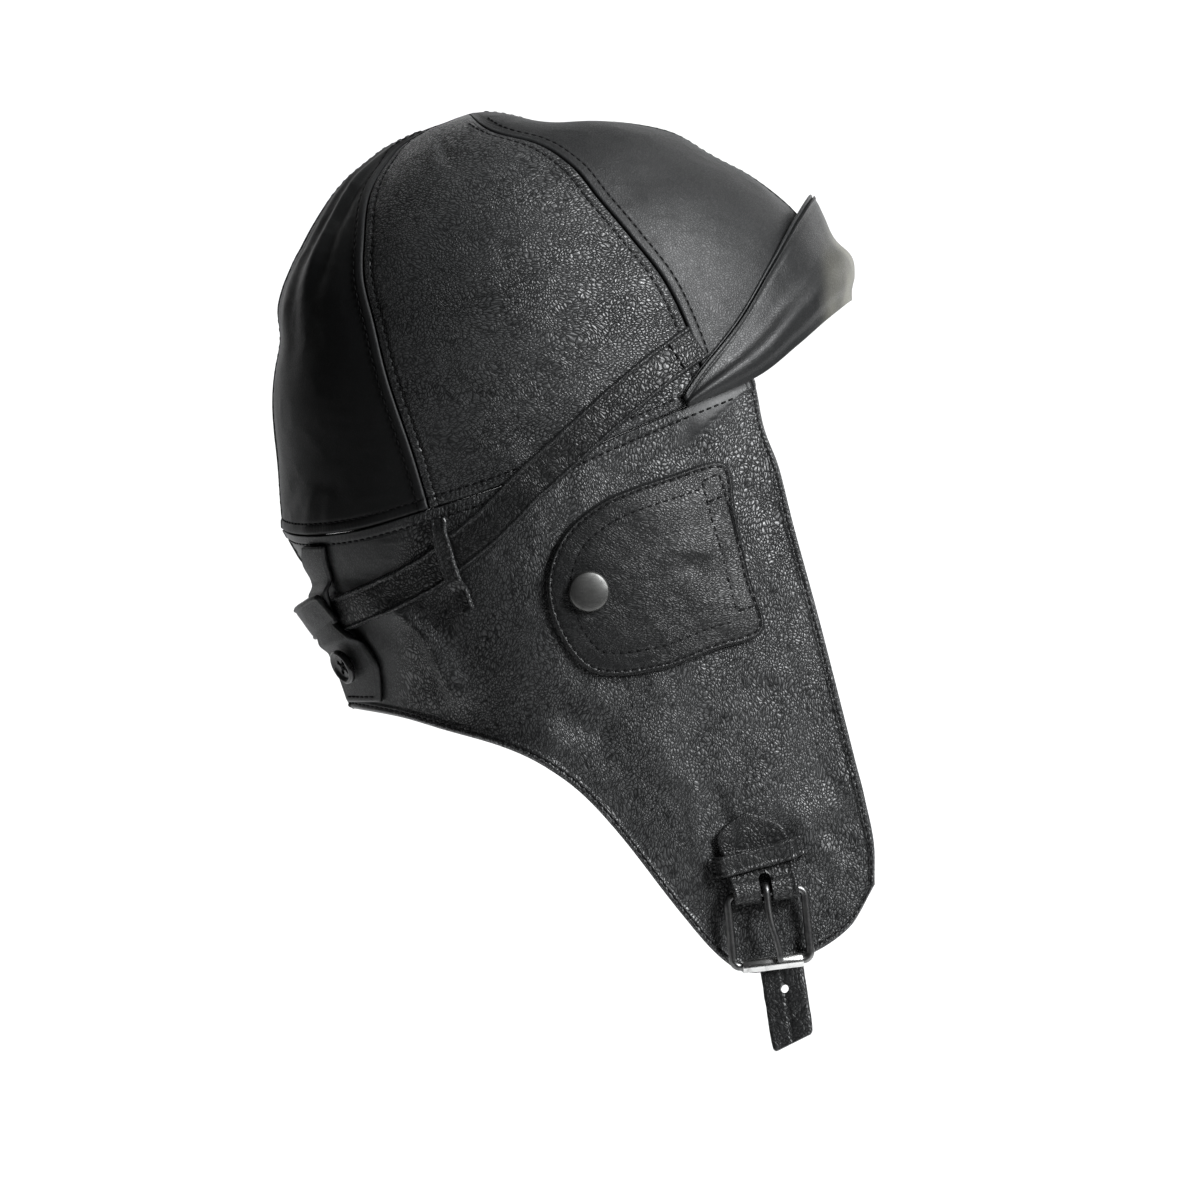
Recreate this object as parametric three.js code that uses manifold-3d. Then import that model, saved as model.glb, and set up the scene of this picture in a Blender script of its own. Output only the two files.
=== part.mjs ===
// A leather flying helmet: a crown of six gores, two ear panels with a
// turned-up peak, a head strap, stitched ear covers and a roller buckle.
// Millimetres. The wearer faces -Y, the wearer's left is +X, up is +Z.
// The origin is the middle of the head, level with the foot of the crown.

import * as THREE from 'three';
import * as BufferGeometryUtils from 'three/addons/utils/BufferGeometryUtils.js';
import Module from 'manifold-3d';

const wasm = await Module();
wasm.setup();

// Driving dimensions

const crownTilt = 18; // degrees that the crown leans back
const crownHalfLength = 105.7;
const crownHalfWidth = 80;
const crownHeight = 112;
const skirtDepth = 194; // from the origin down to the chin end of the flaps
const leatherWall = 1.7;
const seamGap = 0.3;
const seat = 0.55; // what lies on the curved skin stays this clear of it
const layerGap = 0.3;
const goreBulge = 2.2;

const peakHeight = 40;
const peakStand = 7.6;
const peakThickness = 2.2;
const peakHalfTurn = 65.5; // degrees round the crown on each side

const headStrapWidth = 13;
const headStrapThickness = 2;
const strapSlideWidth = 13.5;
const strapSlideStand = 6.5;
const strapSlideThickness = 2;
const strapSlideClear = 0.6; // the fold springs off the layers below it

const sideLoopWidth = 6.3;
const sideLoopThickness = 1.6;
const rearTabThickness = 1.9;
const buttonDiameter = 12.6;
const buttonThickness = 3;
const buttonHoleDiameter = 1.8;
const buttonLift = 0.7; // the thread shank between tab and button

const earPatchLength = 77.6;
const earPatchHeight = 76;
const earPatchThickness = 2;
const earPatchLoft = 1.6;
const snapDiameter = 14.4;
const snapHeight = 2.8;

const wireDiameter = 2.9;
const buckleWidth = 30.3;
const buckleLength = 28;
const buckleCorner = 2.6;
const buckleTurn = -6; // degrees from upright, seen from the right
const pivotClearance = 0.3;
const prongWidth = 3;
const prongThickness = 2;
const rollerDiameter = 4.9;
const rollerClearance = 0.4;
const buckleTabWidth = 23.4;
const buckleTabLength = 28.5;
const buckleTabCover = 16; // the part of the tab that is folded back over itself
const buckleTabThickness = 1.8;
const tabSlotLength = 7;
const keeperWidth = 7.4;
const keeperThickness = 1.6;

const chinStrapWidth = 17;
const chinStrapLength = 76;
const chinStrapThickness = 2.6;
const chinHoleDiameter = 3;

// Rings of the crown, from its foot to its top. Heights are shares of
// crownHeight, reaches shares of crownHalfLength, sides shares of
// crownHalfWidth. The seam columns are degrees round the ring from the front.

const crownRings = [
  { up: 0.0, front: 0.997, back: 1.0, side: 1.0, frontSeam: 60.5, rearSeam: 120 },
  { up: 0.15, front: 0.99, back: 0.97, side: 1.0, frontSeam: 59.5, rearSeam: 121.5 },
  { up: 0.34, front: 0.957, back: 0.912, side: 0.985, frontSeam: 60.5, rearSeam: 124 },
  { up: 0.5, front: 0.89, back: 0.852, side: 0.935, frontSeam: 62.5, rearSeam: 126.5 },
  { up: 0.63, front: 0.775, back: 0.785, side: 0.855, frontSeam: 63, rearSeam: 128.5 },
  { up: 0.75, front: 0.64, back: 0.71, side: 0.74, frontSeam: 63.5, rearSeam: 131 },
  { up: 0.855, front: 0.475, back: 0.59, side: 0.585, frontSeam: 65, rearSeam: 135 },
  { up: 0.93, front: 0.31, back: 0.42, side: 0.41, frontSeam: 70, rearSeam: 139 },
  { up: 0.978, front: 0.15, back: 0.22, side: 0.22, frontSeam: 72, rearSeam: 142 },
  { up: 1.0, front: 0.022, back: 0.022, side: 0.028, frontSeam: 66, rearSeam: 128 },
];

// The middle of each ring lies this share of crownHalfLength behind the apex
const ringMiddleBack = 0.04;

// Rise of the crown's foot round the head, as a share of crownHeight
const footLine = [
  { turn: 0, rise: 0.069 },
  { turn: 25, rise: 0.025 },
  { turn: 49, rise: -0.06 },
  { turn: 64, rise: -0.078 },
  { turn: 80, rise: -0.102 },
  { turn: 100, rise: -0.136 },
  { turn: 120, rise: -0.137 },
  { turn: 142, rise: -0.125 },
  { turn: 180, rise: -0.053 },
];

// Dents and folds of the crown. turn and wide are degrees round the ring, level
// and tall are shares of the way up, deep is a share of crownHeight.
const crownDents = [
  { turn: 0, wide: 34, level: 0.72, tall: 0.07, deep: 0.05 },
  { turn: 0, wide: 26, level: 0.5, tall: 0.09, deep: -0.012 },
  { turn: 146, wide: 4, level: 0.62, tall: 0.2, deep: 0.012 },
  { turn: 157, wide: 4.5, level: 0.55, tall: 0.22, deep: 0.014 },
  { turn: 169, wide: 4, level: 0.6, tall: 0.18, deep: 0.012 },
  { turn: 151, wide: 4, level: 0.66, tall: 0.16, deep: -0.01 },
  { turn: 180, wide: 12, level: 0.36, tall: 0.05, deep: 0.012 },
];

// Outline of a side panel seen from the side. fore is a share of
// crownHalfLength ahead of the origin, down a share of skirtDepth below it.

const napeLine = [
  { share: 0, fore: -0.934, down: 0.197 },
  { share: 0.16, fore: -0.884, down: 0.247 },
  { share: 0.25, fore: -0.844, down: 0.279 },
  { share: 0.4, fore: -0.818, down: 0.326 },
  { share: 0.63, fore: -0.785, down: 0.402 },
  { share: 0.81, fore: -0.742, down: 0.459 },
  { share: 1, fore: -0.705, down: 0.523 },
];

const faceLine = [
  { share: 0, fore: 0.63, down: -0.072 },
  { share: 0.1, fore: 0.664, down: 0.02 },
  { share: 0.2, fore: 0.712, down: 0.09 },
  { share: 0.32, fore: 0.758, down: 0.19 },
  { share: 0.5, fore: 0.84, down: 0.355 },
  { share: 0.66, fore: 0.911, down: 0.506 },
  { share: 0.81, fore: 0.977, down: 0.65 },
  { share: 0.92, fore: 1.023, down: 0.76 },
  { share: 1, fore: 1.027, down: 0.84 },
];

const hemLine = [
  { fore: -0.705, down: 0.523 },
  { fore: -0.546, down: 0.539 },
  { fore: -0.414, down: 0.56 },
  { fore: -0.215, down: 0.591 },
  { fore: -0.083, down: 0.623 },
  { fore: 0.05, down: 0.674 },
  { fore: 0.182, down: 0.751 },
  { fore: 0.381, down: 0.89 },
  { fore: 0.513, down: 0.971 },
  { fore: 0.613, down: 1.0 },
  { fore: 0.778, down: 0.975 },
  { fore: 0.944, down: 0.917 },
  { fore: 1.027, down: 0.84 },
];

// Where the panel turns from the side to the nape, and how it narrows
const panelMidForeAtHem = -0.05;
const templeTurn = 49;
const chinTurnIn = 33;
const napeNarrowing = 0.09;
const chinNarrowing = 0.225;
const napeRoundness = 1.35; // 2 is a round nape, 1 a sharp one

// Folds of the panels: from and to are places seen from the side, width and
// stand are shares of skirtDepth.
const panelFolds = [
  { from: [-0.53, 0.35], to: [-0.34, 0.49], width: 0.03, stand: 0.011 },
  { from: [-0.74, 0.3], to: [-0.58, 0.34], width: 0.025, stand: 0.008 },
  { from: [0.8, 0.72], to: [0.99, 0.66], width: 0.026, stand: 0.008 },
  { from: [0.45, 0.0], to: [0.6, -0.05], width: 0.03, stand: 0.01 },
  { from: [-0.1, 0.52], to: [0.12, 0.56], width: 0.03, stand: -0.008 },
];

// Profile of the peak above the crown's foot: up is a share of peakHeight,
// out a share of peakStand.
const peakProfile = [
  { up: 0, out: 0 },
  { up: 0.09, out: 0.52 },
  { up: 0.2, out: 0.86 },
  { up: 0.38, out: 1 },
  { up: 0.57, out: 0.56 },
  { up: 0.78, out: 0.42 },
  { up: 1, out: 0.36 },
];
const peakTaper = 0.72;

// Route of the head strap: turn is degrees round the upright axis from the
// front, down a share of skirtDepth.
const headStrapRoute = [
  { turn: 56.4, down: -0.138 },
  { turn: 66, down: -0.092 },
  { turn: 76.3, down: -0.032 },
  { turn: 83.8, down: 0.018 },
  { turn: 91.2, down: 0.067 },
  { turn: 98.8, down: 0.117 },
  { turn: 105.1, down: 0.164 },
  { turn: 111.7, down: 0.206 },
  { turn: 118.9, down: 0.242 },
  { turn: 126.7, down: 0.276 },
  { turn: 136.6, down: 0.305 },
  { turn: 147.2, down: 0.33 },
  { turn: 160.8, down: 0.348 },
  { turn: 180, down: 0.362 },
];

// Side loop, from the crown's foot to its stitched end
const sideLoopRoute = [
  { turn: 122.2, down: 0.179 },
  { turn: 121, down: 0.218 },
  { turn: 120, down: 0.258 },
  { turn: 118.2, down: 0.299 },
  { turn: 116.2, down: 0.346 },
];

// Rear tab, from the crown's foot down to the hem at the nape
const rearTabRows = [
  { down: 0.228, far: 155.7, near: 164.5 },
  { down: 0.26, far: 158, near: 170 },
  { down: 0.295, far: 160, near: 172.5 },
  { down: 0.334, far: 162.3, near: 174 },
  { down: 0.366, far: 161.8, near: 175 },
  { down: 0.386, far: 157.2, near: 175.5 },
  { down: 0.408, far: 153.7, near: 176 },
  { down: 0.44, far: 152.3, near: 176.5 },
  { down: 0.471, far: 154.4, near: 176.5 },
  { down: 0.508, far: 157.8, near: 176.5 },
];
const rearButtonTurn = 165;
const rearButtonDown = 0.436;
const strapSlideTurn = 13; // degrees from the centre back to each end

// Outline of the ear cover as shares of its length and height, round from the
// upper front corner. Its middle is set by fore and down.
const earPatchFore = 0.305;
const earPatchDown = 0.258;
const earPatchOutline = [
  { along: 0.315, up: 0.448 },
  { along: 0.04, up: 0.395 },
  { along: -0.26, up: 0.28 },
  { along: -0.425, up: 0.13 },
  { along: -0.495, up: -0.08 },
  { along: -0.445, up: -0.32 },
  { along: -0.29, up: -0.505 },
  { along: 0.0, up: -0.5 },
  { along: 0.26, up: -0.41 },
  { along: 0.485, up: -0.32 },
  { along: 0.42, up: -0.06 },
  { along: 0.36, up: 0.22 },
];
const snapAlong = -0.31;
const snapUp = -0.13;

// Where the buckle's hinge bar lies on the right flap
const buckleFore = 0.658;
const buckleDown = 0.852;
const tabLean = -7; // degrees between the buckle and its leather tab
const keeperLean = 8;

// Where the chin strap starts on the left flap, and its lean from upright
const chinStrapFore = 0.65;
const chinStrapDown = 0.765;
const chinStrapLean = 9;

// Small numeric helpers

const radians = (degrees) => degrees * Math.PI / 180;
const mix = (a, b, share) => a + (b - a) * share;
const limit = (value, low, high) => Math.min(high, Math.max(low, value));
const easy = (share) => share * share * (3 - 2 * share);

// Smooth curve through the rows of a table, at a value of its key column
function readTable(table, key, column, value) {
  const last = table.length - 1;
  let row = 0;
  while (row < last - 1 && value > table[row + 1][key]) {
    row += 1;
  }
  const slope = (low, high) => {
    const run = table[high][key] - table[low][key];
    return (table[high][column] - table[low][column]) / run;
  };
  const start = slope(Math.max(0, row - 1), row + 1);
  const end = slope(row, Math.min(last, row + 2));
  const width = table[row + 1][key] - table[row][key];
  const t = limit((value - table[row][key]) / width, 0, 1);
  const t2 = t * t;
  const t3 = t2 * t;
  return (2 * t3 - 3 * t2 + 1) * table[row][column]
    + (t3 - 2 * t2 + t) * width * start
    + (3 * t2 - 2 * t3) * table[row + 1][column]
    + (t3 - t2) * width * end;
}

// Value of a column a share of the way along a table
function readRows(table, column, share) {
  const counted = table.map((row, index) => ({ ...row, index }));
  return readTable(counted, 'index', column, share * (table.length - 1));
}

const ringTable = crownRings.map((row, index) => ({ ...row, index }));
const readRing = (column, level) =>
  readTable(ringTable, 'index', column, level * (ringTable.length - 1));

// The crown. turn is degrees round the ring from the front, level is 0 at the
// crown's foot and 1 at the apex. Points of the left half have x above 0.

function crownBase(turn, level) {
  const up = readRing('up', level);
  const middle = -ringMiddleBack * crownHalfLength * (1 - up);
  const front = readRing('front', level) * crownHalfLength - middle;
  const back = readRing('back', level) * crownHalfLength + middle;
  const side = readRing('side', level) * crownHalfWidth;
  const angle = radians(turn);
  const reach = Math.cos(angle) > 0 ? front : back;
  const foot = readTable(footLine, 'turn', 'rise', Math.abs(turn));
  const ahead = middle + reach * Math.cos(angle);
  const rise = crownHeight * (up + foot * (1 - up) * (1 - up));
  const tilt = radians(crownTilt);
  const fore = ahead * Math.cos(tilt) - rise * Math.sin(tilt);
  const height = ahead * Math.sin(tilt) + rise * Math.cos(tilt);
  return new THREE.Vector3(side * Math.sin(angle), -fore, height);
}

function normalOf(surface, a, b, stepA, stepB) {
  const along = surface(a + stepA, b).sub(surface(a - stepA, b));
  const upward = surface(a, Math.min(1, b + stepB)).sub(surface(a, Math.max(0, b - stepB)));
  return along.cross(upward).normalize();
}

// Gore seams at a level, front to back
function goreEdges(level) {
  return [0, readRing('frontSeam', level), readRing('rearSeam', level), 180];
}

function goreShare(turn, level) {
  const edges = goreEdges(level);
  let gore = 0;
  while (gore < 2 && turn > edges[gore + 1]) {
    gore += 1;
  }
  return (turn - edges[gore]) / (edges[gore + 1] - edges[gore]);
}

function crownRelief(turn, level) {
  const share = goreShare(turn, level);
  const fade = Math.min(1, 0.25 + level * 2) * Math.min(1, (1 - level) * 4);
  let relief = goreBulge * Math.sin(Math.PI * limit(share, 0, 1)) * fade;
  for (const dent of crownDents) {
    const across = (turn - dent.turn) / dent.wide;
    const along = (level - dent.level) / dent.tall;
    relief -= dent.deep * crownHeight * Math.exp(-across * across - along * along);
  }
  return relief;
}

function crownNormal(turn, level) {
  return normalOf(crownBase, turn, Math.min(level, 0.985), 0.5, 0.01);
}

function crownPoint(turn, level) {
  const point = crownBase(turn, level);
  return point.addScaledVector(crownNormal(turn, level), crownRelief(turn, level));
}

// A side panel. round runs from the nape at 0 to the face edge at 1, fall from
// the crown's foot at 0 to the hem at 1. Points have x of 0 or more.

const sideShare = 0.5; // the value of round at the widest place

function footTurn(round) {
  if (round < sideShare) {
    return 180 - 90 * round / sideShare;
  }
  return 90 - (90 - templeTurn) * (round - sideShare) / (1 - sideShare);
}

function hemPlace(round) {
  const nape = hemLine[0].fore;
  const face = hemLine[hemLine.length - 1].fore;
  let fore = mix(panelMidForeAtHem, face, (round - sideShare) / (1 - sideShare));
  if (round < sideShare) {
    const angle = radians(90 * round / sideShare);
    const power = 2 / napeRoundness;
    fore = panelMidForeAtHem - (panelMidForeAtHem - nape) * Math.pow(Math.cos(angle), power);
  }
  return { fore, down: readTable(hemLine, 'fore', 'down', fore) };
}

function edgePlace(table, share) {
  return {
    fore: readTable(table, 'share', 'fore', share),
    down: readTable(table, 'share', 'down', share),
  };
}

function panelBase(round, fall) {
  const foot = crownBase(footTurn(round), 0);
  const top = { fore: -foot.y / crownHalfLength, down: -foot.z / skirtDepth };
  const hem = hemPlace(round);
  const nape = edgePlace(napeLine, fall);
  const face = edgePlace(faceLine, fall);
  const blend = easy(round);
  const place = (column) => {
    const straightNape = mix(napeLine[0][column], napeLine[napeLine.length - 1][column], fall);
    const straightFace = mix(faceLine[0][column], faceLine[faceLine.length - 1][column], fall);
    return mix(top[column], hem[column], fall)
      + mix(nape[column] - straightNape, face[column] - straightFace, blend);
  };
  const hemDrop = (hem.down - hemLine[0].down) / (1 - hemLine[0].down);
  const narrowing = mix(napeNarrowing, chinNarrowing, Math.max(0, hemDrop));
  const width = crownHalfWidth * (1 - narrowing * fall * fall);
  let across = 1;
  if (round < sideShare) {
    const roundness = mix(2, napeRoundness, fall);
    const angle = radians(90 * round / sideShare);
    across = Math.pow(Math.sin(angle), 2 / roundness);
  } else {
    const turnIn = mix(90 - templeTurn, chinTurnIn, fall);
    across = Math.cos(radians(turnIn) * (round - sideShare) / (1 - sideShare));
  }
  return new THREE.Vector3(
    width * across,
    -place('fore') * crownHalfLength,
    -place('down') * skirtDepth,
  );
}

function panelNormal(round, fall) {
  const low = Math.max(0, round - 0.015);
  const high = Math.min(1, round + 0.015);
  const along = panelBase(high, fall).sub(panelBase(low, fall));
  const upper = Math.max(0, fall - 0.015);
  const lower = Math.min(1, fall + 0.015);
  const downward = panelBase(round, lower).sub(panelBase(round, upper));
  const normal = along.cross(downward);
  if (round < 0.001) {
    normal.x = 0;
  }
  normal.normalize();
  const nearFoot = Math.max(0, 1 - fall * 12);
  return normal.lerp(crownNormal(footTurn(round), 0), nearFoot).normalize();
}

function panelRelief(point) {
  const fore = -point.y / crownHalfLength;
  const down = -point.z / skirtDepth;
  const scale = skirtDepth / crownHalfLength;
  let relief = 0;
  for (const fold of panelFolds) {
    const run = [fold.to[0] - fold.from[0], (fold.to[1] - fold.from[1]) * scale];
    const here = [fore - fold.from[0], (down - fold.from[1]) * scale];
    const length = run[0] * run[0] + run[1] * run[1];
    const share = limit((here[0] * run[0] + here[1] * run[1]) / length, 0, 1);
    const off = [here[0] - run[0] * share, here[1] - run[1] * share];
    const width = fold.width * scale;
    const distance = (off[0] * off[0] + off[1] * off[1]) / (width * width);
    relief += fold.stand * skirtDepth * Math.exp(-distance);
  }
  return relief;
}

function panelPoint(round, fall) {
  const point = panelBase(round, fall);
  const fade = Math.min(1, fall * 8) * Math.min(1, round * 6);
  const relief = panelRelief(point) * fade;
  return point.addScaledVector(panelNormal(round, fall), relief);
}

// The skin is the crown above the foot line and the panels below it. A measure
// turns a point into two numbers, and the skin is searched for the point that
// has the wanted pair.

const skins = [
  { point: crownPoint, normal: crownNormal, low: [0, 0], high: [180, 0.9], step: [0.6, 0.004] },
  { point: panelPoint, normal: panelNormal, low: [0, 0], high: [1, 1], step: [0.004, 0.004] },
];
const searchSteps = 18;

for (const skin of skins) {
  skin.samples = [];
  for (let i = 0; i <= searchSteps; i += 1) {
    for (let j = 0; j <= searchSteps; j += 1) {
      const a = mix(skin.low[0], skin.high[0], i / searchSteps);
      const b = mix(skin.low[1], skin.high[1], j / searchSteps);
      skin.samples.push({ a, b, point: skin.point(a, b) });
    }
  }
}

function searchSkin(skin, measure, wanted) {
  let best = null;
  for (const sample of skin.samples) {
    const seen = measure(sample.point);
    const miss = Math.hypot(seen[0] - wanted[0], seen[1] - wanted[1]);
    if (best === null || miss < best.miss) {
      best = { a: sample.a, b: sample.b, miss };
    }
  }
  let { a, b } = best;
  for (let turn = 0; turn < 9; turn += 1) {
    const here = measure(skin.point(a, b));
    const stepA = a + skin.step[0] > skin.high[0] ? -skin.step[0] : skin.step[0];
    const stepB = b + skin.step[1] > skin.high[1] ? -skin.step[1] : skin.step[1];
    const byA = measure(skin.point(a + stepA, b));
    const byB = measure(skin.point(a, b + stepB));
    const m00 = (byA[0] - here[0]) / stepA;
    const m01 = (byB[0] - here[0]) / stepB;
    const m10 = (byA[1] - here[1]) / stepA;
    const m11 = (byB[1] - here[1]) / stepB;
    const size = m00 * m11 - m01 * m10;
    const missA = wanted[0] - here[0];
    const missB = wanted[1] - here[1];
    a = limit(a + (missA * m11 - missB * m01) / size, skin.low[0], skin.high[0]);
    b = limit(b + (missB * m00 - missA * m10) / size, skin.low[1], skin.high[1]);
  }
  const point = skin.point(a, b);
  const seen = measure(point);
  const miss = Math.hypot(seen[0] - wanted[0], seen[1] - wanted[1]);
  return { point, normal: skin.normal(a, b), miss };
}

function findOnSkin(measure, wanted) {
  const found = skins.map((skin) => searchSkin(skin, measure, wanted));
  return found[0].miss <= found[1].miss ? found[0] : found[1];
}

const sideView = (point) => [-point.y, point.z];
const roundView = (point) => [
  THREE.MathUtils.radToDeg(Math.atan2(point.x, -point.y)),
  point.z,
];

function skinFromSide(fore, down) {
  return findOnSkin(sideView, [fore * crownHalfLength, -down * skirtDepth]);
}

function skinRound(turn, down) {
  return findOnSkin(roundView, [turn, -down * skirtDepth]);
}

// Closed solids from rows of points

function solidFrom(points, faces) {
  const positions = new Float32Array(points.length * 3);
  points.forEach((point, index) => point.toArray(positions, index * 3));
  let volume = 0;
  for (const [a, b, c] of faces) {
    volume += points[a].dot(new THREE.Vector3().crossVectors(points[b], points[c]));
  }
  const turned = volume < 0 ? faces.map(([a, b, c]) => [a, c, b]) : faces;
  const geometry = new THREE.BufferGeometry();
  geometry.setAttribute('position', new THREE.BufferAttribute(positions, 3));
  geometry.setIndex(turned.flat());
  geometry.computeVertexNormals();
  return geometry;
}

// A sheet with a face of rows by columns on each side and closed edges
function sheetSolid(rows, columns, pointAt) {
  const points = [];
  const faces = [];
  const width = columns + 1;
  const layer = (rows + 1) * width;
  for (const side of [0, 1]) {
    for (let row = 0; row <= rows; row += 1) {
      for (let column = 0; column <= columns; column += 1) {
        points.push(pointAt(row, column, side));
      }
    }
  }
  const quad = (a, b, c, d) => faces.push([a, b, c], [a, c, d]);
  for (let row = 0; row < rows; row += 1) {
    for (let column = 0; column < columns; column += 1) {
      const a = row * width + column;
      quad(a, a + width, a + width + 1, a + 1);
      quad(layer + a, layer + a + 1, layer + a + width + 1, layer + a + width);
    }
  }
  const edge = (a, b) => quad(a, b, layer + b, layer + a);
  for (let column = 0; column < columns; column += 1) {
    edge(column, column + 1);
    edge(rows * width + column + 1, rows * width + column);
  }
  for (let row = 0; row < rows; row += 1) {
    edge((row + 1) * width, row * width);
    edge(row * width + columns, (row + 1) * width + columns);
  }
  return solidFrom(points, faces);
}

// A sheet filled from its outline to its middle
function discSolid(sectors, rings, pointAt) {
  const points = [];
  const faces = [];
  const layer = 1 + sectors * rings;
  for (const side of [0, 1]) {
    points.push(pointAt(0, 0, side));
    for (let ring = 1; ring <= rings; ring += 1) {
      for (let sector = 0; sector < sectors; sector += 1) {
        points.push(pointAt(sector, ring / rings, side));
      }
    }
  }
  const at = (side, ring, sector) =>
    side * layer + 1 + (ring - 1) * sectors + (sector % sectors);
  for (let sector = 0; sector < sectors; sector += 1) {
    faces.push([0, at(0, 1, sector + 1), at(0, 1, sector)]);
    faces.push([layer, at(1, 1, sector), at(1, 1, sector + 1)]);
    for (let ring = 1; ring < rings; ring += 1) {
      for (const side of [0, 1]) {
        const a = at(side, ring, sector);
        const b = at(side, ring, sector + 1);
        const c = at(side, ring + 1, sector + 1);
        const d = at(side, ring + 1, sector);
        if (side === 0) {
          faces.push([a, b, c], [a, c, d]);
        } else {
          faces.push([a, c, b], [a, d, c]);
        }
      }
    }
    const a = at(0, rings, sector);
    const b = at(0, rings, sector + 1);
    faces.push([a, b, b + layer], [a, b + layer, a + layer]);
  }
  return solidFrom(points, faces);
}

// A solid through like rings of points, with end caps or closed on itself
function sweptSolid(rings, closed) {
  const count = rings[0].length;
  const points = rings.flat();
  const faces = [];
  const spans = closed ? rings.length : rings.length - 1;
  for (let ring = 0; ring < spans; ring += 1) {
    const next = (ring + 1) % rings.length;
    for (let k = 0; k < count; k += 1) {
      const a = ring * count + k;
      const b = ring * count + (k + 1) % count;
      const c = next * count + (k + 1) % count;
      const d = next * count + k;
      faces.push([a, b, c], [a, c, d]);
    }
  }
  if (!closed) {
    const end = (rings.length - 1) * count;
    for (let k = 1; k < count - 1; k += 1) {
      faces.push([0, k + 1, k]);
      faces.push([end, end + k, end + k + 1]);
    }
  }
  return solidFrom(points, faces);
}

// Section of a strap: width by thickness with rounded edges, from its middle
function strapSection(width, thickness) {
  const half = width / 2;
  const deep = thickness / 2;
  const soft = Math.min(deep, half) * 0.55;
  return [
    [-half, -deep + soft], [-half + soft, -deep], [half - soft, -deep], [half, -deep + soft],
    [half, deep - soft], [half - soft, deep], [-half + soft, deep], [-half, deep - soft],
  ];
}

// Section of a rod with a given number of sides
function rodSection(width, thickness, sides) {
  const corners = [];
  for (let side = 0; side < sides; side += 1) {
    const angle = 2 * Math.PI * (side + 0.5) / sides;
    corners.push([Math.cos(angle) * width / 2, Math.sin(angle) * thickness / 2]);
  }
  return corners;
}

// A ring of points: a section set across a path
function ringAt(centre, across, outward, section) {
  return section.map(([a, b]) =>
    centre.clone().addScaledVector(across, a).addScaledVector(outward, b));
}

const hand = { left: 1, right: -1 };

function onSide(side, point) {
  return new THREE.Vector3(point.x * hand[side], point.y, point.z);
}

// Boolean cutting of one solid by another

function manifoldOf(geometry) {
  const bare = geometry.clone();
  bare.deleteAttribute('normal');
  bare.deleteAttribute('uv');
  const merged = BufferGeometryUtils.mergeVertices(bare, 1e-4);
  const mesh = new wasm.Mesh({
    numProp: 3,
    vertProperties: new Float32Array(merged.attributes.position.array),
    triVerts: new Uint32Array(merged.index.array),
  });
  return new wasm.Manifold(mesh);
}

function cutAway(geometry, cutters) {
  let body = manifoldOf(geometry);
  for (const cutter of cutters) {
    body = body.subtract(manifoldOf(cutter));
  }
  const mesh = body.getMesh();
  const result = new THREE.BufferGeometry();
  const positions = new Float32Array(mesh.vertProperties);
  result.setAttribute('position', new THREE.BufferAttribute(positions, 3));
  result.setIndex(new THREE.BufferAttribute(new Uint32Array(mesh.triVerts), 1));
  result.computeVertexNormals();
  return result;
}

// Materials

const blackLeather = { color: 0x17161a, roughness: 0.5, metalness: 0 };
const nickel = { color: 0xb9b7b0, roughness: 0.28, metalness: 1 };
const gunmetal = { color: 0x55555a, roughness: 0.34, metalness: 1 };
const blackHorn = { color: 0x101012, roughness: 0.3, metalness: 0 };

const helmet = new THREE.Group();

function addPiece(name, geometry, finish, parent = helmet) {
  const mesh = new THREE.Mesh(geometry, new THREE.MeshStandardMaterial(finish));
  mesh.name = name;
  parent.add(mesh);
  return mesh;
}

// Crown gores

const goreNames = ['front', 'side', 'rear'];
const goreColumns = [7, 7, 8];
const goreRows = 11;

// Turn of a gore's edge, moved into the gore by half the seam gap
function seamTurn(turn, level, inward) {
  const step = 0.5;
  const arc = crownBase(turn + step, level).distanceTo(crownBase(turn - step, level));
  return turn + inward * seamGap * step / arc;
}

function goreSolid(gore, side) {
  return sheetSolid(goreRows, goreColumns[gore], (row, column, layer) => {
    const level = row / goreRows;
    const edges = goreEdges(level);
    const first = seamTurn(edges[gore], level, 1);
    const last = seamTurn(edges[gore + 1], level, -1);
    const turn = mix(first, last, column / goreColumns[gore]);
    const point = crownPoint(turn, level);
    if (layer === 0) {
      point.addScaledVector(crownNormal(turn, level), -leatherWall);
    }
    const outer = column === 0 || column === goreColumns[gore];
    if (outer && (edges[gore] === 0 || edges[gore + 1] === 180)) {
      point.x = Math.max(point.x, seamGap / 2);
    }
    if (row === 0) {
      point.z += seamGap / 2;
    }
    return onSide(side, point);
  });
}

for (const side of ['right', 'left']) {
  for (let gore = 0; gore < goreNames.length; gore += 1) {
    addPiece(`crown_${goreNames[gore]}_${side}`, goreSolid(gore, side), blackLeather);
  }
}

// Side panels

const panelColumns = 20;
const panelRows = 15;

function panelSolid(side) {
  return sheetSolid(panelRows, panelColumns, (row, column, layer) => {
    const round = column / panelColumns;
    const fall = row / panelRows;
    const point = panelPoint(round, fall);
    if (layer === 0) {
      point.addScaledVector(panelNormal(round, fall), -leatherWall);
    }
    point.x = column === 0 ? seamGap / 2 : Math.max(point.x, seamGap);
    if (row === 0) {
      point.z -= seamGap / 2;
    }
    return onSide(side, point);
  });
}

for (const side of ['right', 'left']) {
  addPiece(`side_panel_${side}`, panelSolid(side), blackLeather);
}

// Peak, turned up over the front of the crown

const peakColumns = 24;
const peakRows = 8;
const peakClear = seat + 0.35;

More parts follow.
